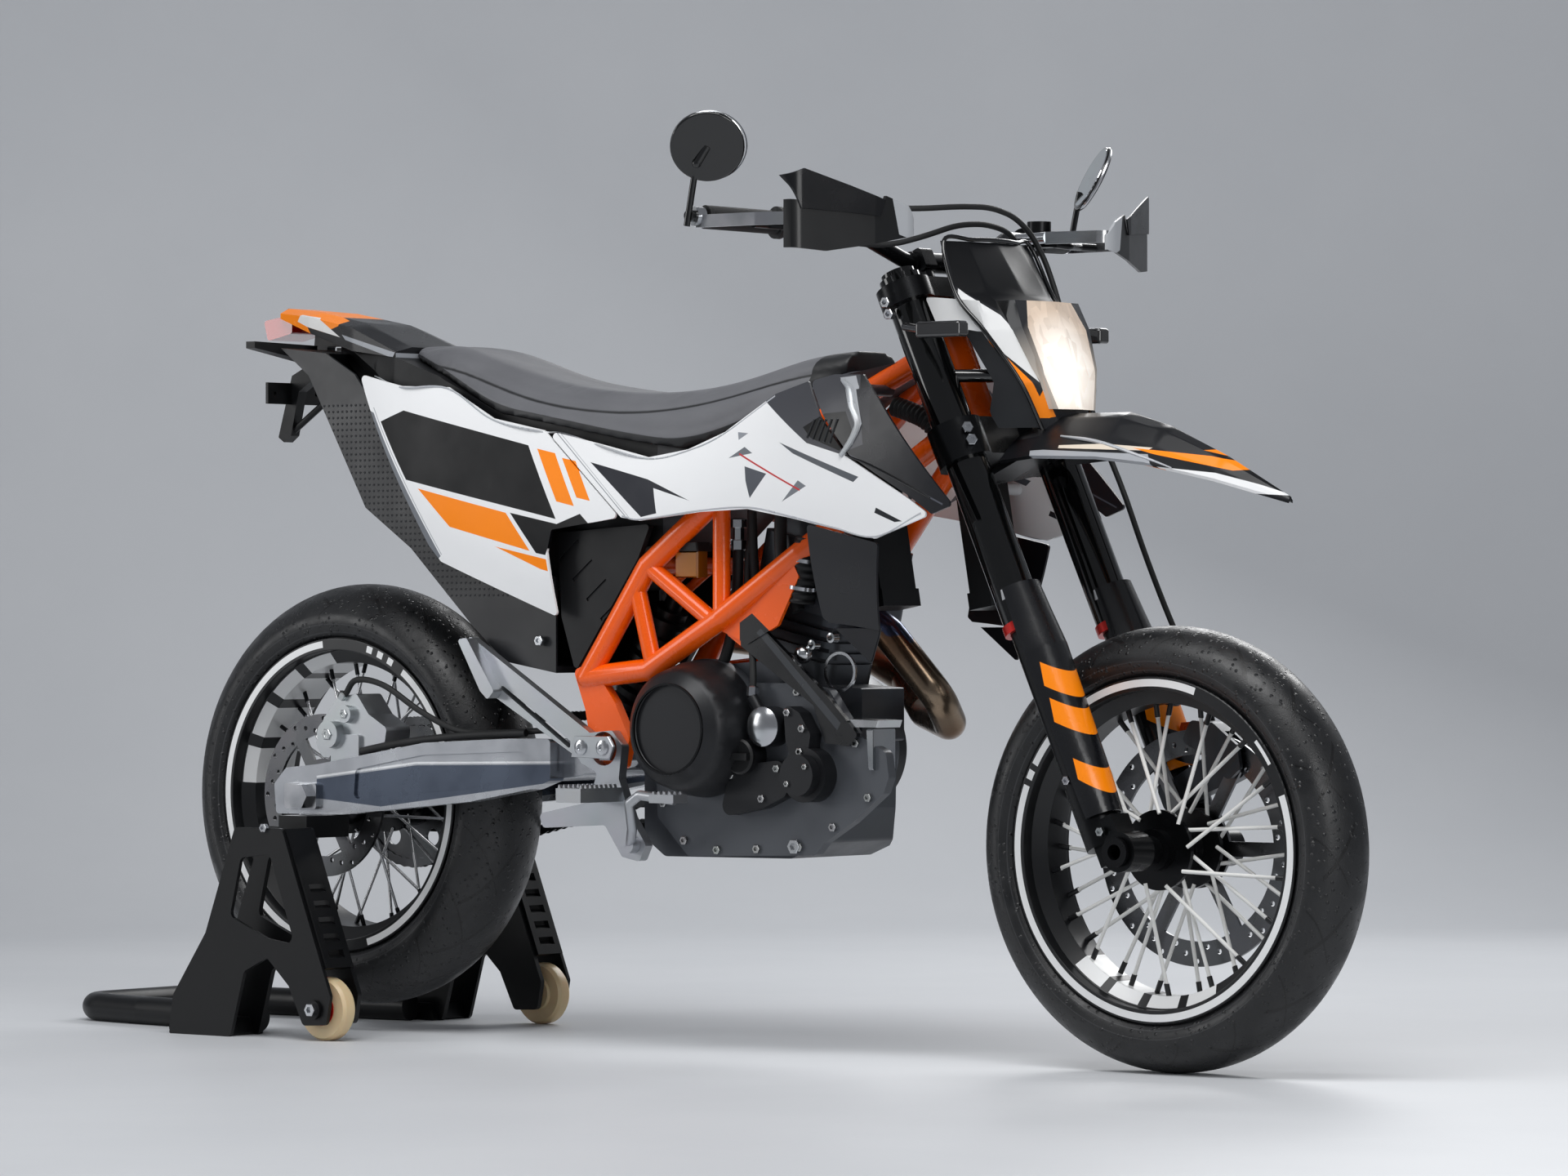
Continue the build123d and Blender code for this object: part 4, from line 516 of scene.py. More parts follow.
def lit_lens(place, colour):
    """Lit headlight: bright in the middle and warm towards the edge, broken up by small moulded facets."""
    stretched = add("Mapping", Vector=place, Scale=(1, 1, 0.55)).outputs[0]
    cells = add("TexVoronoi", Vector=stretched, Scale=82.0)
    tone = xyz(cells.outputs["Color"])[0]
    far = vector("DISTANCE", place, metres((1292, -8, 940)).tolist())
    edge = calc("MULTIPLY", calc("SUBTRACT", far, 0.04), 20.0, clamp=True)
    facets = laid(calc("MULTIPLY", tone, 0.4), laid(edge, "fffcf6", "f3dcc6"), "a8937f")
    lens = [(-1, 1048), (48, 1046), (66, 1004), (58, 940), (38, 888), (-1, 884)]
    facets = laid(inside(both_sides(place), lens, True), "1c1d20", facets)
    return laid(lamp_share(place), colour, facets)


PROUD_MM = 105.5


def casting_paint(place, colour):
    """Covers that stand proud have the base colour; the castings behind them keep a grey coat."""
    return laid(calc("GREATER_THAN", xyz(both_sides(place))[1], PROUD_MM / 1000), "505358", colour)


def tyre(name, *size, repeats=17):
    """Worn road rubber of one tyre: size is its axle, outer radius and half width."""
    return finish(name, "08090a", 0.42, grain=(2.2, 0.25), wear=0.14, patches_mm=40,
                  paint=tyre_paint(*size, repeats), relief=tread(*size, repeats))


# %% The finishes of this motorcycle
M = {
    # Polyester powder coat on steel tube: glossy, with a faint orange-peel ripple of about 3 mm.
    "orange_powder": finish("orange_powder_coat", "fb6002", 0.27, grain=(3.0, 0.04), coat=0.25,
                            areas=FRAME_AREAS),
    # Die-cast aluminium with a satin black coat, which keeps the sand texture of the mould.
    "engine_black": finish("black_coated_casting", "1b1c1f", 0.40, 0.35, grain=(0.9, 0.06),
                           paint=casting_paint),
    "engine_grey": finish("grey_coated_casting", "46494e", 0.38, 0.6, grain=(0.9, 0.05)),
    # Bead-blasted forged aluminium: bright, soft highlights.
    "forged_alloy": finish("blasted_forged_aluminium", "b4b7bb", 0.34, 0.92, grain=(0.6, 0.03)),
    "arm_alloy": finish("anodised_swingarm_aluminium", "b3b6bb", 0.25, 0.85, grain=(0.5, 0.01),
                        areas=ARM_AREAS),
    "machined": finish("machined_aluminium", "c6c8cb", 0.22, 1.0, grain=(0.4, 0.01)),
    "zinc": finish("zinc_plated_steel", "b4b5b4", 0.28, 1.0, grain=(0.5, 0.02)),
    "dark_steel": finish("dark_ground_steel", "5b5c5e", 0.30, 1.0, grain=(0.5, 0.015)),
    "disc_steel": finish("laser_cut_disc_steel", "6f7072", 0.27, 1.0, grain=(0.35, 0.012)),
    # Black anodising on turned aluminium: nearly a mirror, but dark.
    "black_anodised": finish("black_anodised_aluminium", "17181a", 0.27, 0.7, grain=(0.5, 0.01)),
    "gloss_black": finish("gloss_black_fork_tube", "08090a", 0.12, 0.5, wear=0.03, coat=0.7,
                          areas=TUBE_AREAS),
    "black_powder": finish("black_powder_coat", "0a0b0d", 0.38, 0.1, grain=(1.2, 0.06), shine=0.35),
    "cover_paint": finish("grey_tank_cover_plastic", "3a3b3f", 0.40, grain=(0.7, 0.04), shine=0.35,
                          areas=COVER_AREAS),
    "black_plastic": finish("moulded_black_polypropylene", "0c0d0f", 0.46, grain=(0.7, 0.05), shine=0.35),
    "dotted_plastic": finish("dotted_black_polypropylene", "191a1d", 0.40, relief=dots(640, 926, 9.0)),
    "satin_plastic": finish("satin_black_shroud_plastic", "121318", 0.30, grain=(0.7, 0.03), wear=0.05,
                            shine=0.4, areas=SHROUD_AREAS),
    "grey_plastic": finish("moulded_dark_grey_polypropylene", "232528", 0.42, grain=(0.7, 0.05), shine=0.35),
    "gloss_plastic": finish("gloss_black_abs", "0b0c0d", 0.14, wear=0.04, coat=0.4),
    "rubber": finish("moulded_rubber", "131415", 0.62, grain=(0.8, 0.05)),
    "grip_rubber": finish("ribbed_grip_rubber", "111213", 0.60, relief=rings_across(3.2)),
    "front_tyre": tyre("front_tyre_rubber", FRONT_AXLE, 300, 60),
    "rear_tyre": tyre("rear_tyre_rubber", REAR_AXLE, 312, 80),
    "front_rim": finish("front_rim_anodised", RIM_BLACK, 0.34, 0.1, paint=rim_paint(
        FRONT_AXLE, ((2.62, 2.66), (2.72, 2.76), (0.35, 1.25)), ((222, 227, 0.55, 0.72),),
        (-2.30, -1.99, -1.68, -1.37), 0.24)),
    "rear_rim": finish("rear_rim_anodised", RIM_BLACK, 0.34, 0.1, paint=rim_paint(
        REAR_AXLE, ((0.95, 1.7), (-2.0, -1.3)),
        [(219, 229, start, start + 0.05) for start in (1.05, 1.15, 1.25)],
        (1.72, 2.08, 2.44, 2.80), 0.27)),
    "front_spokes": finish("white_coated_spokes", "e6e6e3", 0.32,
                           paint=ringed(FRONT_AXLE, ("17181a", 179.5, 240, *WHOLE))),
    "rear_spokes": finish("stainless_spokes", "c2c3c5", 0.22, 0.9,
                          paint=ringed(REAR_AXLE, ("2a2b2d", 179.5, 240, *WHOLE))),
    # Injection-moulded panels: white ABS under a clear film with the graphics on it.
    # The panel also carries the cover's areas: a painted shade opening and painted highlights on its fins.
    "panel_paint": finish("white_panel_with_graphics_and_painted_light", "edeeef", 0.36, wear=0.05, shine=0.16,
                          areas=PANEL_AREAS),
    "mask_paint": finish("mask_with_graphics", "1d1e22", 0.40, wear=0.05, shine=0.25,
                         areas=MASK_AREAS, front=True),
    "fender_paint": finish("black_fender_with_graphics", "141518", 0.32, wear=0.05, shine=0.3,
                           areas=FENDER_AREAS),
    "guard_paint": finish("fork_guard_with_graphics", "0e0f12", 0.24, wear=0.05, coat=0.15,
                          areas=GUARD_AREAS),
    "tail_paint": finish("tail_with_graphics_and_painted_highlight", "101114", 0.28, wear=0.05, shine=0.4,
                         areas=TAIL_AREAS),
    # Silver plastic trim; on the fender's creases the same silver is a painted highlight.
    "silver_trim_and_highlight": finish("silver_plastic_and_painted_highlight", "c4c7cb", 0.28, 0.3, grain=(0.6, 0.02)),
    "seat_vinyl": finish("grained_seat_vinyl", "6f7074", 0.5, grain=(1.3, 0.10), wear=0.08,
                         paint=stitched),
    "urethane": finish("cast_cream_urethane", "dcc39a", 0.38, grain=(1.0, 0.02), Subsurface_Weight=0.15),
    "red_anodised": finish("red_anodised_aluminium", "c3201a", 0.28, 0.5),
    "orange_anodised": finish("orange_anodised_aluminium", "e2540c", 0.28, 0.6),
    "amber_oil": finish("amber_oil_in_acrylic", "a8680c", 0.12, coat=1.0),
    "brushed_steel": finish("brushed_silencer_steel", "8e8d8b", 0.32, 1.0, grain=(0.4, 0.015)),
    "red_lens": finish("moulded_red_acrylic", "a30f12", 0.10, coat=1.0),
    "smoke_lens": finish("smoked_acrylic", "2a2a2b", 0.08, coat=1.0),
    "clear_lens": finish("smoked_clear_deflector", "121316", 0.26, Transmission_Weight=0.3, shine=0.4),
    "mirror_glass": finish("silvered_mirror_glass", "dfe3e6", 0.02, 1.0, wear=0.01),
    "lit_lamp": finish("lit_headlight_lens", "0b0c0d", 0.12, coat=1.0, paint=lit_lens,
                       Emission_Color=linear("fff2e4")),
    "shell_paint": finish("hand_guard_shell", "0a0b0c", 0.34, wear=0.04, coat=0.1,
                          areas=SHELL_AREAS, front=True),
}


def floor_paint(place, colour):
    """Pale concrete: soft blotches between two near greys."""
    return laid(noise(place, 1.3, 6.0, 0.6), colour, "d6d8db")


def tempered(place, colour):
    """Header steel: straw, brown and blue bands of heat tint that follow the distance from the head."""
    along = calc("ADD", calc("MULTIPLY", xyz(place)[2], 9.0), noise(place, 14.0, 3.0))
    share = calc("PINGPONG", along, 1.0)
    return laid(within(share, 0.0, 0.18), laid(share, colour, "8a7a68"), "47506b")


lamp_tree = M["lit_lamp"].node_tree
lamp_place = coordinates(lamp_tree)
lamp_far = vector("DISTANCE", lamp_place, metres((1300, -8, 935)).tolist())
glow = calc("SUBTRACT", 0.85, calc("MULTIPLY", lamp_far, 8.5), clamp=True)
glow = calc("MULTIPLY", lamp_share(lamp_place), glow)
lamp_tree.links.new(glow, lamp_tree.nodes["Principled BSDF"].inputs["Emission Strength"])
M["header_steel"] = finish("heat_tinted_header_steel", "6b4a33", 0.26, 0.95, paint=tempered, wear=0.08)


def seen_from_front(material):
    """Clear from behind, so that a camera behind the backdrop looks through it."""
    tree = material.node_tree
    behind = add("NewGeometry", tree=tree).outputs["Backfacing"]
    clear = add("BsdfTransparent", tree=tree).outputs[0]
    mixed = add("MixShader", i0=behind, i1=tree.nodes["Principled BSDF"].outputs[0], i2=clear)
    tree.links.new(mixed.outputs[0], tree.nodes["Material Output"].inputs["Surface"])
    return material


sheet.data.materials.append(seen_from_front(finish(
    "pale_studio_floor", "c9ccd0", 0.5, paint=floor_paint, wear=0.05, patches_mm=700)))
if sheet.data.polygons[0].normal.z < 0:
    sheet.data.flip_normals()
print("finishes", len(M))

# %% [markdown]
# ## Dressing the CAD nodes
# A CAD node arrives as loose triangles, so round faces would look cut like a gem. Each corner gets its own
# normal instead: the sum of the normals of all triangles that meet there and differ by less than a limit.
# Corners of flat faces stay crisp, since their neighbours are turned by more than the limit.
# One node may hold several solids, such as a bar and its grips. They are told apart by which triangles
# share corners, and each solid can take its own finish.


# %% Smooth corners, and solids within a node
def array_of(items, name, width=3, kind=float):
    """One property of all vertices or corners of a mesh, width numbers to a row."""
    made = np.empty(len(items) * width, kind)
    items.foreach_get(name, made)
    return made.reshape(-1, width)


def corner_table(mesh):
    """For each triangle: its three welded corner numbers, its normal and its area; and the welded points."""
    points = array_of(mesh.vertices, "co")
    corners = array_of(mesh.loops, "vertex_index", 1, np.int32)[:, 0]
    welded, number = np.unique(np.round(points, 6), axis=0, return_inverse=True)
    triangles = points[corners].reshape(-1, 3, 3)
    normal = np.cross(triangles[:, 1] - triangles[:, 0], triangles[:, 2] - triangles[:, 0])
    area = np.linalg.norm(normal, axis=1)
    normal = normal / np.maximum(area, 1e-12)[:, None]
    return welded, number.reshape(-1)[corners].reshape(-1, 3), normal, area


def smooth_corners(mesh, limit=36):
    """Corner normal = area-weighted sum of the triangle normals at that point within the limit angle."""
    welded, table, normal, area = corner_table(mesh)
    flat = table.reshape(-1)
    owner = np.repeat(np.arange(len(table)), 3)
    order = np.argsort(flat, kind="stable")
    sizes = np.bincount(flat, minlength=len(welded))
    starts = np.concatenate([[0], np.cumsum(sizes)[:-1]])
    repeats = sizes[flat]
    mine = np.repeat(np.arange(len(flat)), repeats)
    within_group = np.arange(len(mine)) - np.repeat(np.cumsum(repeats) - repeats, repeats)
    theirs = owner[order[starts[flat[mine]] + within_group]]
    near = (normal[owner[mine]] * normal[theirs]).sum(1) > cos(radians(limit))
    weight = (area[theirs] * near)[:, None] * normal[theirs]
    made = np.stack([np.bincount(mine, weight[:, k], len(flat)) for k in range(3)], 1)
    made /= np.maximum(np.linalg.norm(made, axis=1), 1e-12)[:, None]
    mesh.polygons.foreach_set("use_smooth", np.ones(len(mesh.polygons), bool))
    mesh.normals_split_custom_set(made.tolist())


def solid_numbers(mesh):
    """For each triangle, the number of the solid that it belongs to: triangles that share corners."""
    welded, table, _, _ = corner_table(mesh)
    label = np.arange(len(welded))
    for _ in range(400):
        low = label[table].min(1)
        before = label.copy()
        np.minimum.at(label, table.reshape(-1), np.repeat(low, 3))
        label = label[label]
        if (label == before).all():
            break
    return np.unique(label[table[:, 0]], return_inverse=True)[1], welded, table


def dress(node, base, *rules):
    """Gives a CAD node its finish. Each rule is (finish, test of a solid's lowest and highest corner)."""
    mesh = NODES[node].data
    mesh.materials.clear()
    mesh.materials.append(M[base])
    smooth_corners(mesh)
    if not rules:
        return
    number, welded, table = solid_numbers(mesh)
    index = np.zeros(len(table), np.int32)
    for rank, (name, test) in enumerate(rules, 1):
        mesh.materials.append(M[name])
        for n in range(number.max() + 1):
            corners = welded[table[number == n].reshape(-1)]
            if test(corners.min(0), corners.max(0)):
                index[number == n] = rank
    mesh.polygons.foreach_set("material_index", index)


# %% Finishes of whole nodes
PLAIN = {
    "black_powder": "radiator rear_shock side_stand paddock_stand", "dark_steel": "drive_chain rear_sprocket",
    "forged_alloy": "rear_caliper foot_controls",
    "black_anodised": "fork_legs triple_clamps front_axle front_hub rear_hub hand_levers",
    "engine_grey": "front_caliper engine", "disc_steel": "front_brake_disc rear_brake_disc",
    "urethane": "stand_roller_left stand_roller_right", "orange_powder": "frame", "arm_alloy": "swingarm",
    "machined": "rear_axle", "dotted_plastic": "rear_mudguard", "gloss_black": "fork_tubes",
    "guard_paint": "fork_guards", "gloss_plastic": "mirrors", "mask_paint": "headlight_mask",
    "fender_paint": "front_fender", "smoke_lens": "front_indicators", "rubber": "cables",
    "front_tyre": "front_tyre", "rear_tyre": "rear_tyre", "front_rim": "front_rim", "rear_rim": "rear_rim",
    "front_spokes": "front_spokes", "rear_spokes": "rear_spokes", "engine_black": "engine_covers",
    "panel_paint": "side_panels", "seat_vinyl": "seat", "tail_paint": "tail_cowl", "lit_lamp": "headlight",
}
for name, nodes in PLAIN.items():
    for node in nodes.split():
        dress(node, name)
dress("tank_and_air_box", "black_plastic", ("cover_paint", lambda low, high: low[0] > 0))
dress("dark_covers", "satin_plastic", ("black_plastic", lambda low, high: high[0] < 0.1))
dress("plate_bracket", "black_plastic", ("red_lens", lambda low, high: low[2] > 1.01))
dress("exhaust", "header_steel", ("brushed_steel", lambda low, high: high[0] < -0.3))
dress("handlebar", "black_anodised", ("grip_rubber", lambda low, high: high[1] < -0.2 or low[1] > 0.2))
dress("hand_guards", "machined", ("shell_paint", lambda low, high: low[2] < 1.12),
      ("clear_lens", lambda low, high: low[2] > 1.14))
print("dressed", len(NODES))

# %% [markdown]
# ## Parts for the small pieces
# Every small piece is built from four kinds of part, each a grid of points and its cells: a profile turned
# about an axis, a round section swept along a smooth path, a flat slab with broken edges, and screw heads.
# One object then holds all the parts that share a body and a finish.


# %% Turned, swept and flat parts
POINT_MM = 0.02          # radius at which a closed end stops short of a single point
SIDES = (-1, 1)          # right, left


def unit(rows):
    """Directions of length 1."""
    rows = np.asarray(rows, float)
    return rows / np.linalg.norm(rows, axis=-1, keepdims=True)


def circle(side, other, sides):
    """Directions round a circle: cos t * side + sin t * other, for equal steps of t."""
    t = np.linspace(0, 2 * pi, sides, endpoint=False)[:, None]
    return np.cos(t) * side[..., None, :] + np.sin(t) * other[..., None, :]


def turned(profile, centre, axis, sides=24):
    """A profile of (radius, height) pairs in mm turned about an axis through centre:
    point = centre + height * axis + radius * (cos t * side + sin t * other)."""
    axis = unit(axis)
    side = unit(np.cross(axis, (0, 0, 1) if abs(axis[2]) < 0.9 else (1, 0, 0)))
    other = np.cross(axis, side)
    radius, height = np.array(profile, float).T[:, :, None, None]
    points = np.array(centre, float) + height * axis + radius * circle(side, other, sides)
    return points.reshape(-1, 3), grid_faces(len(profile), sides, close_columns=True)


def smooth_path(path, steps=8):
    """Points on a Catmull-Rom curve through the path's corners, steps to a span."""
    path = np.array(path, float)
    ends = np.vstack([2 * path[0] - path[1], path, 2 * path[-1] - path[-2]])
    t = np.linspace(0, 1, steps, endpoint=False)[:, None]
    a, b, c, d = (ends[k:len(ends) - 3 + k, None] for k in range(4))
    curve = 0.5 * (2 * b + (c - a) * t + (2 * a - 5 * b + 4 * c - d) * t ** 2
                   + (3 * b - a - 3 * c + d) * t ** 3)
    return np.vstack([curve.reshape(-1, 3), path[-1]])


def swept(path, radius, sides=12, steps=8, ribs=0, rib_mm=0.0):
    """A round section carried along a smooth path: point = path + radius * (cos t * side + sin t * other),
    with side square to the path. ribs waves of height rib_mm run along it."""
    line = smooth_path(path, steps if not ribs else max(steps, int(8 * ribs / (len(path) - 1))))
    forward = unit(np.gradient(line, axis=0))
    guide = np.eye(3)[np.abs(forward).max(0).argmin()]
    side = unit(np.cross(forward, guide))
    other = np.cross(forward, side)
    share = np.linspace(0, 1, len(line))
    size = np.interp(share, np.linspace(0, 1, np.size(radius)), np.atleast_1d(radius))
    size = size + rib_mm * np.sin(share * 2 * pi * ribs)
    line, side, other = (np.vstack([v[:1], v, v[-1:]]) for v in (line, side, other))
    size = np.concatenate([[POINT_MM], size, [POINT_MM]])
    points = line[:, None] + size[:, None, None] * circle(side, other, sides)
    return points.reshape(-1, 3), grid_faces(len(line), sides, close_columns=True)


def slab(outline, low, high, bevel=0.8):
    """A flat plate with a convex outline of (x, z) in mm, from y = low to y = high, its edges broken."""
    flat = np.array(outline, float)
    centre = flat.mean(0)
    size = np.linalg.norm(flat - centre, axis=1).mean()
    small, tiny = centre + (flat - centre) * (1 - bevel / size), centre + (flat - centre) * 1e-4
    rings = np.stack([tiny, small, flat, flat, small, tiny])
    heights = np.repeat([low, low, low + bevel, high - bevel, high, high], len(flat)).reshape(6, -1)
    points = np.stack((rings[..., 0], heights, rings[..., 1]), -1)
    return points.reshape(-1, 3), grid_faces(6, len(flat), close_columns=True)


def screws(axis, radius, height, *places):
    """Hexagon heads with a round socket, one at each place."""
    profile = [(POINT_MM, -2), (radius, -2), (radius, height - 1), (radius - 1, height),
               (radius * 0.5, height), (radius * 0.45, height * 0.45), (POINT_MM, height * 0.45)]
    return [turned(profile, place, axis, 6) for place in places]


def screw_pairs(axis, radius, height, *places):
    """Screws on both sides: axis and places are those of the left side, mirrored for the right."""
    return [turn for side in SIDES for turn in screws(
        np.multiply(axis, (1, side, 1)), radius, height,
        *[np.multiply(place, (1, side, 1)) for place in places])]


RAKE = radians(24.4)
FORK_UP = (-sin(RAKE), 0, cos(RAKE))


def on_fork(u, v, w):
    """A place forward of the front axle across the fork, to the left, and up along it, in mm."""
    return (FRONT_AXLE[0] + u * cos(RAKE) - w * sin(RAKE), v, FRONT_AXLE[2] + u * sin(RAKE) + w * cos(RAKE))


PIECES, SHARP_DEGREES = [], 35


def piece(name, finish_name, body, slot_name, *parts):
    """One object from several parts: corner numbers of each part shift past the points before it."""
    shift = np.cumsum([0] + [len(points) for points, _ in parts])
    points = metres(np.vstack([points for points, _ in parts]))
    faces = np.vstack([cells + start for (_, cells), start in zip(parts, shift)])
    obj = new_mesh(name, points, faces)
    shell = bmesh.new()
    shell.from_mesh(obj.data)
    bmesh.ops.recalc_face_normals(shell, faces=shell.faces[:])
    shell.to_mesh(obj.data)
    shell.free()
    obj.data.set_sharp_from_angle(angle=radians(SHARP_DEGREES))
    obj.data.materials.append(M[finish_name])
    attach(obj, body)
    PIECES.append(obj)


# %% [markdown]
# ## The seat
# The CAD seat is a plain closed shell. A voxel remesh gives it even cells, and a cloth simulation with air
# pressure inside and the base held lets the cover swell as foam under vinyl does. No point may move more
# than 4 mm. The seam is a groove 30 mm below the crown. Each point stores its depth below the crown and its
# height above the base, so that the finish can darken the seam and the trim.

# %% Seat cover
SWELL_MM, SEAM_GROOVE_MM, CLOTH_FRAMES = 4.0, 2.2, 20


def seat_lines(points):
    """Height of the crown and of the base above each point: extremes in 10 mm slices, then interpolated."""
    bins = np.floor(points[:, 0] * 100).astype(int)
    first = bins.min()
    crown = np.full(bins.max() - first + 1, -1e9)
    base = -crown
    np.maximum.at(crown, bins - first, points[:, 2])
    np.minimum.at(base, bins - first, points[:, 2])
    crown, base = (np.convolve(np.pad(line, 4, "edge"), np.ones(9) / 9, "valid") for line in (crown, base))
    centres = (np.arange(len(crown)) + first + 0.5) / 100
    return np.interp(points[:, 0], centres, crown), np.interp(points[:, 0], centres, base)


def worked(obj):
    """The object as its modifiers leave it."""
    return obj.evaluated_get(bpy.context.evaluated_depsgraph_get())


def bake(obj):
    """Puts the worked mesh in place of the object's own, and returns it."""
    mesh = bpy.data.meshes.new_from_object(worked(obj))
    obj.modifiers.clear()
    obj.data = mesh
    return mesh


def seat_cover(cell_mm=5.0):
    """The padded seat, from the CAD shell."""
    source = NODES["seat"].data
    obj = bpy.data.objects.new("seat_cover", source.copy())
    bpy.context.scene.collection.objects.link(obj)
    obj.data.materials.clear()
    remesh = obj.modifiers.new("cells", "REMESH")
    remesh.mode, remesh.voxel_size = "VOXEL", cell_mm / 1000
    even = bake(obj)
    rest = array_of(even.vertices, "co")
    _, base = seat_lines(rest)
    held = obj.vertex_groups.new(name="held")
    held.add(np.flatnonzero(rest[:, 2] < base + 0.012).tolist(), 1.0, "REPLACE")
    cloth = obj.modifiers.new("cover", "CLOTH")
    cloth.settings.quality = 5
    cloth.settings.mass = 0.4
    cloth.settings.tension_stiffness = cloth.settings.compression_stiffness = 30
    cloth.settings.bending_stiffness = 2
    cloth.settings.use_pressure = True
    cloth.settings.uniform_pressure_force = 4
    cloth.settings.vertex_group_mass = "held"
    cloth.settings.effector_weights.gravity = 0
    cloth.point_cache.frame_start, cloth.point_cache.frame_end = 1, CLOTH_FRAMES
    for frame_number in range(1, CLOTH_FRAMES + 1):
        bpy.context.scene.frame_set(frame_number)
    step = array_of(worked(obj).data.vertices, "co") - rest
    length = np.linalg.norm(step, axis=1)[:, None]
    points = rest + step * np.minimum(1, SWELL_MM / 1000 / np.maximum(length, 1e-9))
    obj.modifiers.clear()
    bpy.context.scene.frame_set(1)
    crown, base = seat_lines(points)
    below = (crown - points[:, 2]) * 1000
    aside = np.abs(points[:, 1]) > 0.035
    seam = np.exp(-((below - SEAM_DEPTH_MM) / 4.5) ** 2) * aside
    points -= array_of(even.vertices, "normal") * (seam * SEAM_GROOVE_MM / 1000)[:, None]
    even.vertices.foreach_set("co", points.reshape(-1))
    for label, values in (("below_crown", below * aside), ("above_base", (points[:, 2] - base) * 1000)):
        even.attributes.new(label, "FLOAT", "POINT").data.foreach_set("value", values)
    fine = obj.modifiers.new("fine", "SUBSURF")
    fine.levels = fine.render_levels = 1
    bake(obj)
    obj.data.polygons.foreach_set("use_smooth", np.ones(len(obj.data.polygons), bool))
    obj.data.materials.append(M["seat_vinyl"])
    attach(obj, "chassis")
    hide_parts("seat")
    print("seat faces", len(obj.data.polygons), "largest move before the limit, mm",
          round(float(length.max()) * 1000, 2))


seat_cover()

# %% [markdown]
# ## Engine and frame details
# Bright screws hold the black covers. The clutch cover has a thin bright ring; beside it are the filler cap,
# the slave cylinder's hose, and behind the frame tubes the hoses with their fittings, an oil reservoir and
# a ribbed canister.

# %% Engine details
OUT, LEFT = (0, -1, 0), (0, 1, 0)
piece("engine_screws", "zinc", "chassis", "bright_steel",
      *screws(OUT, 6.5, 5, *[(x, -104.3, z) for x, z in (
          (662, 350), (700, 298), (760, 286), (832, 289), (908, 293), (968, 322), (1030, 364), (1008, 438),
          (957, 496), (905, 508))]),
      *screws(OUT, 6, 5, (908, -130, 480), (934, -130, 458), (930, -130, 426)),
      *screws(OUT, 6, 5, (802, -124, 392), (884, -124, 402), (857, -124, 360)),
      *screws(OUT, 4.5, 4, (921, -148, 382), (953, -148, 406)),
      *screws(LEFT, 6.5, 5, *[(x, 137, z) for x, z in ((810, 440), (860, 440), (835, 400))]))
piece("clutch_ring", "black_anodised", "chassis", "engine_black",
      turned([(61, 1), (61, 2.5), (64, 2.5), (64.5, -1), (61, -1)], (738, -186, 456), OUT, 64))
piece("filler_cap", "black_plastic", "chassis", "engine_black",
      turned([(25, -1), (25, 5), (22, 8), (POINT_MM, 8)], (825, -130, 418), OUT, 32),
      slab([(804, 413), (846, 413), (846, 423), (804, 423)], -147, -136, 1.5))
piece("engine_dome", "machined", "chassis", "bright_steel",
      turned([(13, -4), (13, 2), (10, 7), (5, 10), (POINT_MM, 11)], (904, -92, 560), OUT, 24),
      turned([(25.5, -3), (28, -3), (28, 0.6), (24, 0.6)], (960, -80, 536), OUT, 40),
      turned([(27.5, -5), (27.5, 1), (21, 6), (10, 9), (POINT_MM, 9)], (866, -134, 460), OUT, 32),
      *[turned([(4, -3), (7, -2), (7, 10), (4, 11)], (x, -82, z), OUT, 16)
        for x, z in ((919, 573), (953, 583))],
      slab([(1000, 472), (1054, 470), (1050, 460), (1004, 460)], -112, -58, 2),
      slab([(1030, 458), (1042, 458), (1042, 402), (1034, 402)], -110, -60, 2),
      *screws(OUT, 11, 7, (901, -104.3, 294)), *screws(OUT, 8, 4, (445, -123, 578)))
piece("clutch_hose", "rubber", "chassis", "black_plastic",
      swept([(838, -122, 500), (836, -118, 530), (828, -110, 562), (816, -102, 604), (808, -96, 652),
             (806, -92, 700), (812, -86, 738)], 5))
piece("hose_fittings", "machined", "chassis", "bright_steel",
      turned([(6, 0), (8.5, 2), (8.5, 14), (6, 16)], (838, -122, 500), (0, 0.1, 1), 6),
      turned([(7, -2), (11, 0), (11, 13), (8, 14), (8, 30), (12, 31), (12, 42), (7, 44)], (787, -90, 706),
             (0, 0, 1), 6),
      turned([(6, 0), (9, 1), (9, 9), (6, 10)], (770, -100, 716), (1, 0, 0), 12),
      turned([(7.2, 0), (7.2, 18)], (787, -90, 688), (0, 0, 1), 16))
piece("coolant_hoses", "rubber", "chassis", "black_plastic",
      swept([(787, -90, 706), (786, -92, 650), (780, -94, 600), (768, -94, 560), (748, -90, 530)], 8),
      swept([(808, -86, 762), (812, -88, 700), (818, -88, 650), (828, -84, 610)], 7),
      swept([(858, -84, 760), (862, -88, 700), (872, -88, 655), (890, -84, 620)], 9))
piece("oil_reservoir", "amber_oil", "chassis", "lamp_glass",
      slab([(690, 667), (731, 667), (731, 704), (690, 704)], -114, -88, 3))
piece("reservoir_cap", "black_plastic", "chassis", "black_plastic",
      slab([(686, 704), (735, 704), (732, 717), (689, 717)], -117, -85, 2))
piece("canister", "black_plastic", "chassis", "black_plastic",
      swept([(905, -97, 632), (913, -98, 676), (921, -99, 722)], 19, sides=24, ribs=9, rib_mm=1.0))
piece("canister_clamps", "machined", "chassis", "bright_steel",
      *[turned([(19, 0), (21.5, 0), (21.5, 5), (19, 5)], (905 + (z - 632) * 0.18, -98, z), (0.18, 0, 1), 28)
        for z in (650, 688)])
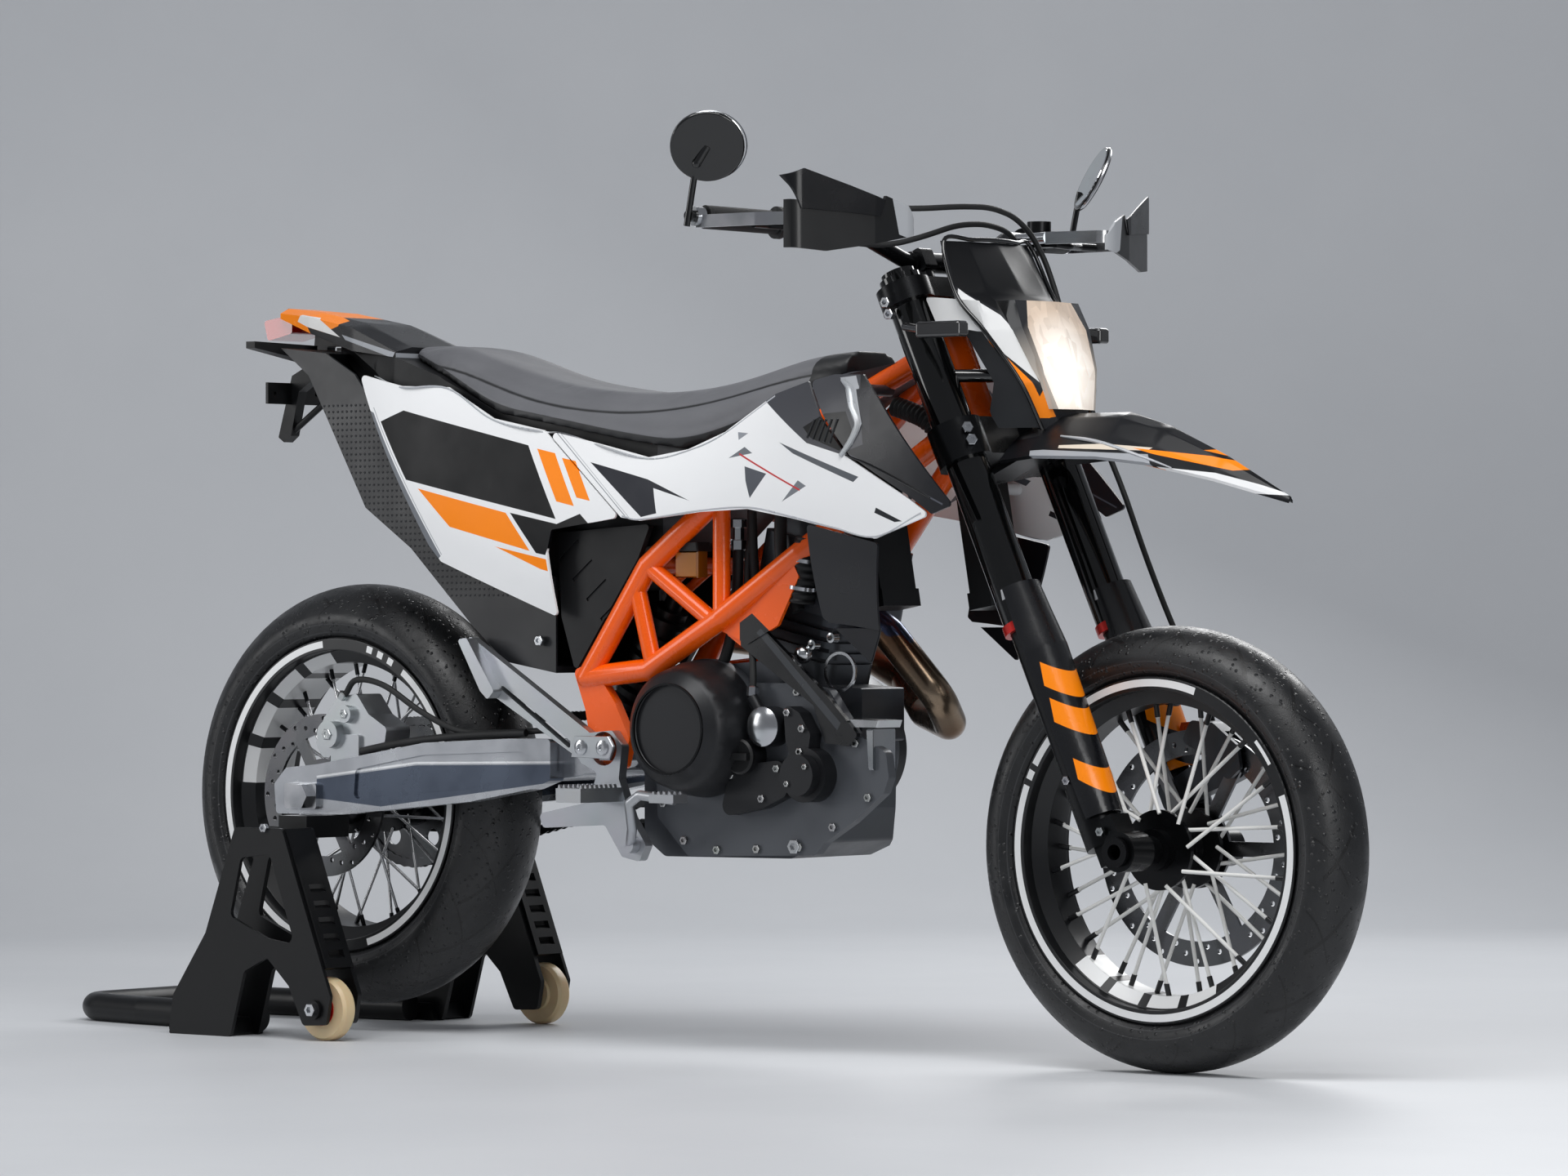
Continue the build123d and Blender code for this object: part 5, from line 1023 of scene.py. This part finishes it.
piece("vent_hose", "rubber", "chassis", "black_plastic",
      swept([(1036, -52, 902), (1062, -52, 894), (1086, -50, 884), (1108, -46, 866)], 13,
            ribs=11, rib_mm=1.6))

# %% [markdown]
# ## Front details
# Pinch screws on the clamps, the red rings under the fork's outer tubes, mirror glass in a bright rim, and
# the caliper's orange cover.

# %% Fork, mirrors and bars
piece("clamp_screws", "machined", "steering", "bright_steel",
      *screw_pairs(LEFT, 8, 8, (1094, 142, 1040), (1100, 142, 1024)),
      *screw_pairs((0.62, 0.78, 0.1), 8, 9, (1220, 128, 868), (1227, 128, 851)),
      *screw_pairs(LEFT, 6.5, 5, (1389, 131, 394), (1444, 131, 327)))
piece("fork_rings", "red_anodised", "steering", "caliper_orange",
      *[turned([(24.6, 0), (31.8, 0), (31.8, 13), (24.6, 13)], on_fork(-30, side * 105, 336), FORK_UP, 40)
        for side in SIDES])
piece("caliper_cover", "orange_anodised", "steering", "caliper_orange",
      slab([(1400, 420), (1430, 440), (1438, 470), (1412, 468)], 96.2, 99, 1))
GLASS_AWAY = {side: unit((-0.57, -side * 0.69, 0.44)) for side in SIDES}
piece("mirror_glasses", "mirror_glass", "steering", "mirror_black",
      *[turned([(POINT_MM, 6.4), (46, 6.2), (46, 5.0)], (1021, side * 432, 1241), GLASS_AWAY[side], 48)
        for side in SIDES])
piece("mirror_rims", "machined", "steering", "bright_steel",
      *[turned([(49.4, -1), (50.4, 1), (49.4, 3), (48.6, 1)], (1021, side * 432, 1241), GLASS_AWAY[side], 56)
        for side in SIDES])

# %% [markdown]
# The mask has a black rim, and a dark skirt closes the space between it and the fork on each side. A skirt
# is a grid of four-cornered rings: its front edge follows the mask, its back edge the fork tube.

# %% Mask rim and skirts
MASK_EDGE = np.array([(1157, 98, 1124), (1188, 112, 1050), (1234, 110, 1000), (1276, 84, 930),
                      (1288, 50, 866)])


def skirt(side, thickness=3.0, rows=24):
    """Front edge from the mask, back edge from five corners, both by height; the rest straight between."""
    height = np.linspace(1042, 868, rows)
    front = [np.interp(-height, -MASK_EDGE[:, 2], MASK_EDGE[:, k]) for k in (0, 1)]
    corners = np.array([(1042, 1176, 102), (1004, 1189, 99), (930, 1236, 90), (888, 1224, 84),
                        (868, 1236, 80)])
    back = [np.interp(-height, -corners[:, 0], corners[:, k]) for k in (1, 2)]
    ring = [(front[0], front[1]), (back[0], back[1]), (back[0], back[1] - thickness),
            (front[0], front[1] - thickness)]
    points = np.stack([np.stack([x, side * y, height], -1) for x, y in ring], 1)
    ends = [np.repeat(points[k].mean(0)[None, None], 4, 1) for k in (0, -1)]
    points = np.concatenate([ends[0], points, ends[1]])
    return points.reshape(-1, 3), grid_faces(rows + 2, 4, close_columns=True)


piece("mask_skirts", "grey_plastic", "steering", "grey_plastic", skirt(-1), skirt(1))
rim_side = MASK_EDGE * (1, -1, 1)
piece("mask_rim", "gloss_plastic", "steering", "black_plastic",
      swept(np.vstack([rim_side[::-1], [(1168, -50, 1127), (1172, 0, 1128), (1168, 50, 1127)],
                       MASK_EDGE]), 3))


OUTSIDE_MM, MISSED_MM, ABOVE_MM = 400, 165, 1100


def on_skin(side, *places, lift=0.5, nodes=("side_panels", "dark_covers", "tank_and_air_box")):
    """Points on the outermost surface of the nodes at (x, z) places, each found by a ray from the side.
    Where every ray misses, the point takes the distance MISSED_MM from the middle."""
    found = []
    for x, z in places:
        start = Vector(metres((x, side * OUTSIDE_MM, z)))
        hits = [NODES[name].ray_cast(start, Vector((0, -side, 0)), distance=0.36) for name in nodes]
        reach = max((abs(place.y) * 1000 for hit, place, _, _ in hits if hit), default=MISSED_MM)
        found.append((x, side * (reach + lift), z))
    return found


def on_top(node, *places, lift=0.5):
    """Points on top of a node at (x, y) places, each found by a ray from above."""
    found = []
    for x, y in places:
        start = Vector(metres((x, y, ABOVE_MM)))
        hit, place, _, _ = NODES[node].ray_cast(start, Vector((0, 0, -1)), distance=0.5)
        if hit:
            found.append((x, y, place.z * 1000 + lift))
    return found


# Painted highlight: silver ridges along the black fender's top creases stand for the light they catch.
CREASE = ((1325, 58), (1392, 62), (1466, 60), (1505, 54), (1561, 40), (1600, 30))
piece("fender_crease_highlights", "silver_trim_and_highlight", "steering", "white_plastic",
      *[swept(on_top("front_fender", *[(x, side * y) for x, y in CREASE]), [1.5, 2.6, 2.6, 2.2, 1.6, 1], 8)
        for side in SIDES])
STRIP = ((1031, 936), (1050, 922), (1062, 898), (1077, 874), (1067, 850), (1051, 831))
piece("cover_strips", "silver_trim_and_highlight", "chassis", "white_plastic",
      *[swept(on_skin(side, *STRIP), [3, 5, 5.5, 5, 4.5, 3], 10) for side in SIDES])
piece("shroud_creases", "gloss_plastic", "chassis", "black_plastic",
      *[swept(on_skin(side, (1060, 832), (1104, 818), (1160, 795.5), (1212, 772)), [1.2, 2, 2, 1], 8)
        for side in SIDES])
piece("cover_fins", "grey_plastic", "chassis", "black_plastic",
      *[swept(on_skin(side, (984 + 11 * n, 857 - 2 * n), (993 + 11 * n, 882)), 1.6, 6)
        for n in range(5) for side in SIDES])
PANEL_EDGE = ((84, 966), (181, 946), (276, 942), (369, 895), (464, 876), (480, 874), (566, 856), (668, 834),
              (745, 844), (812, 866), (900, 917))
LOWER_EDGE = ((1196, 752), (1116, 721), (1040, 734), (960, 750), (880, 763), (786, 760), (668, 749),
              (630, 754))
piece("panel_rims", "silver_trim_and_highlight", "chassis", "white_plastic",
      *[swept(on_skin(side, *edge, lift=-0.6), 1.5, 8)
        for side in SIDES for edge in (PANEL_EDGE, LOWER_EDGE)])
piece("radiator_shroud_tips", "satin_plastic", "chassis", "black_plastic",
      *[slab([(1019, 597), (1099, 597), (1097, 588), (1084, 551), (1080, 551)],
             side * 164 - 2, side * 164 + 2, 1)
        for side in SIDES])

# %% [markdown]
# ## Rear details
# Brake hose and its guide on the swingarm, piston plugs, the plate bracket's screws, the stand's pickups,
# roller hubs and their bolts.

# %% Rear wheel, stand and tail
piece("rear_brake_hose", "rubber", "chassis", "black_plastic",
      swept([(70, -128, 498), (96, -131, 520), (150, -130, 512), (220, -126, 474), (290, -122, 448),
             (370, -118, 446), (450, -114, 450)], 4.5),
      swept([(40, -124, 404), (160, -126, 426), (290, -126, 440), (420, -124, 446)], 5.5))
piece("rear_brake_fittings", "machined", "chassis", "bright_steel",
      *screws(OUT, 9, 3, (46, -141.5, 440)), *screws(OUT, 7, 3, (74, -135.5, 470)),
      turned([(5, 0), (7, 1), (7, 11), (5, 12)], (62, -128, 492), (0.6, -0.1, 0.8), 6))


def tooth(x, y, low, high, half):
    """A tooth that narrows upwards, half wide to each side of y."""
    return slab([(x - 2.5, low), (x + 2.5, low), (x + 0.8, high), (x - 0.8, high)], y - half, y + half, 0.3)


piece("peg_teeth", "forged_alloy", "chassis", "cast_alloy",
      *[tooth(x, side * y, 372, 377, 3) for x in (576, 616) for y in range(158, 234, 10) for side in SIDES],
      *[tooth(x, -y, 366, 370, 2.5) for x in (740, 750, 760, 770) for y in (196, 207, 218)])
PROBES = ((540, 428), (562, 450), (600, 445), (584, 408), (620, 428))
BRACKET_Y = -min(y for _, y, _ in on_skin(-1, *PROBES, lift=0, nodes=("foot_controls", "swingarm", "frame")))
piece("pivot_plate", "forged_alloy", "chassis", "cast_alloy",
      slab([(543, 414), (548, 444), (612, 444), (622, 430), (614, 412)], -BRACKET_Y - 3, -BRACKET_Y + 3, 1.2))
piece("pivot_bolts", "machined", "chassis", "bright_steel",
      *[turned([(11, -1), (11, 1.5), (8, 3), (4.5, 3), (4, 0.5), (POINT_MM, 0.5)],
               (x, -BRACKET_Y - 3, 428), OUT, 24)
        for x in (562, 602)])
print("bracket y", round(BRACKET_Y, 1))
piece("plate_screws", "machined", "chassis", "bright_steel",
      *screws((-1, 0, 0.1), 6, 4, (-157.5, -45, 947), (-157.5, 45, 947)))
piece("stand_pickups", "machined", "chassis", "bright_steel",
      *[turned([(6, -14), (6, 0), (12, 1), (12, 4), (7, 5), (7, 12), (12, 13), (12, 16), (POINT_MM, 16)],
               (36, side * 178, 306), (0, side, 0), 28) for side in SIDES])
for side, label in ((-1, "right"), (1, "left")):
    piece("roller_hub_" + label, "red_anodised", "roller_" + label, "caliper_orange",
          turned([(24, -1), (24, 1.2), (13, 1.8), (13, -1)], (135, side * 248, 46), (0, side, 0), 32))
piece("roller_bolts", "machined", "chassis", "bright_steel",
      *screw_pairs(LEFT, 10, 7, (135, 268, 46)), *screw_pairs(LEFT, 7, 5, (36, 263, 306)))
print("pieces", len(PIECES), "faces", sum(len(p.data.polygons) for p in PIECES))
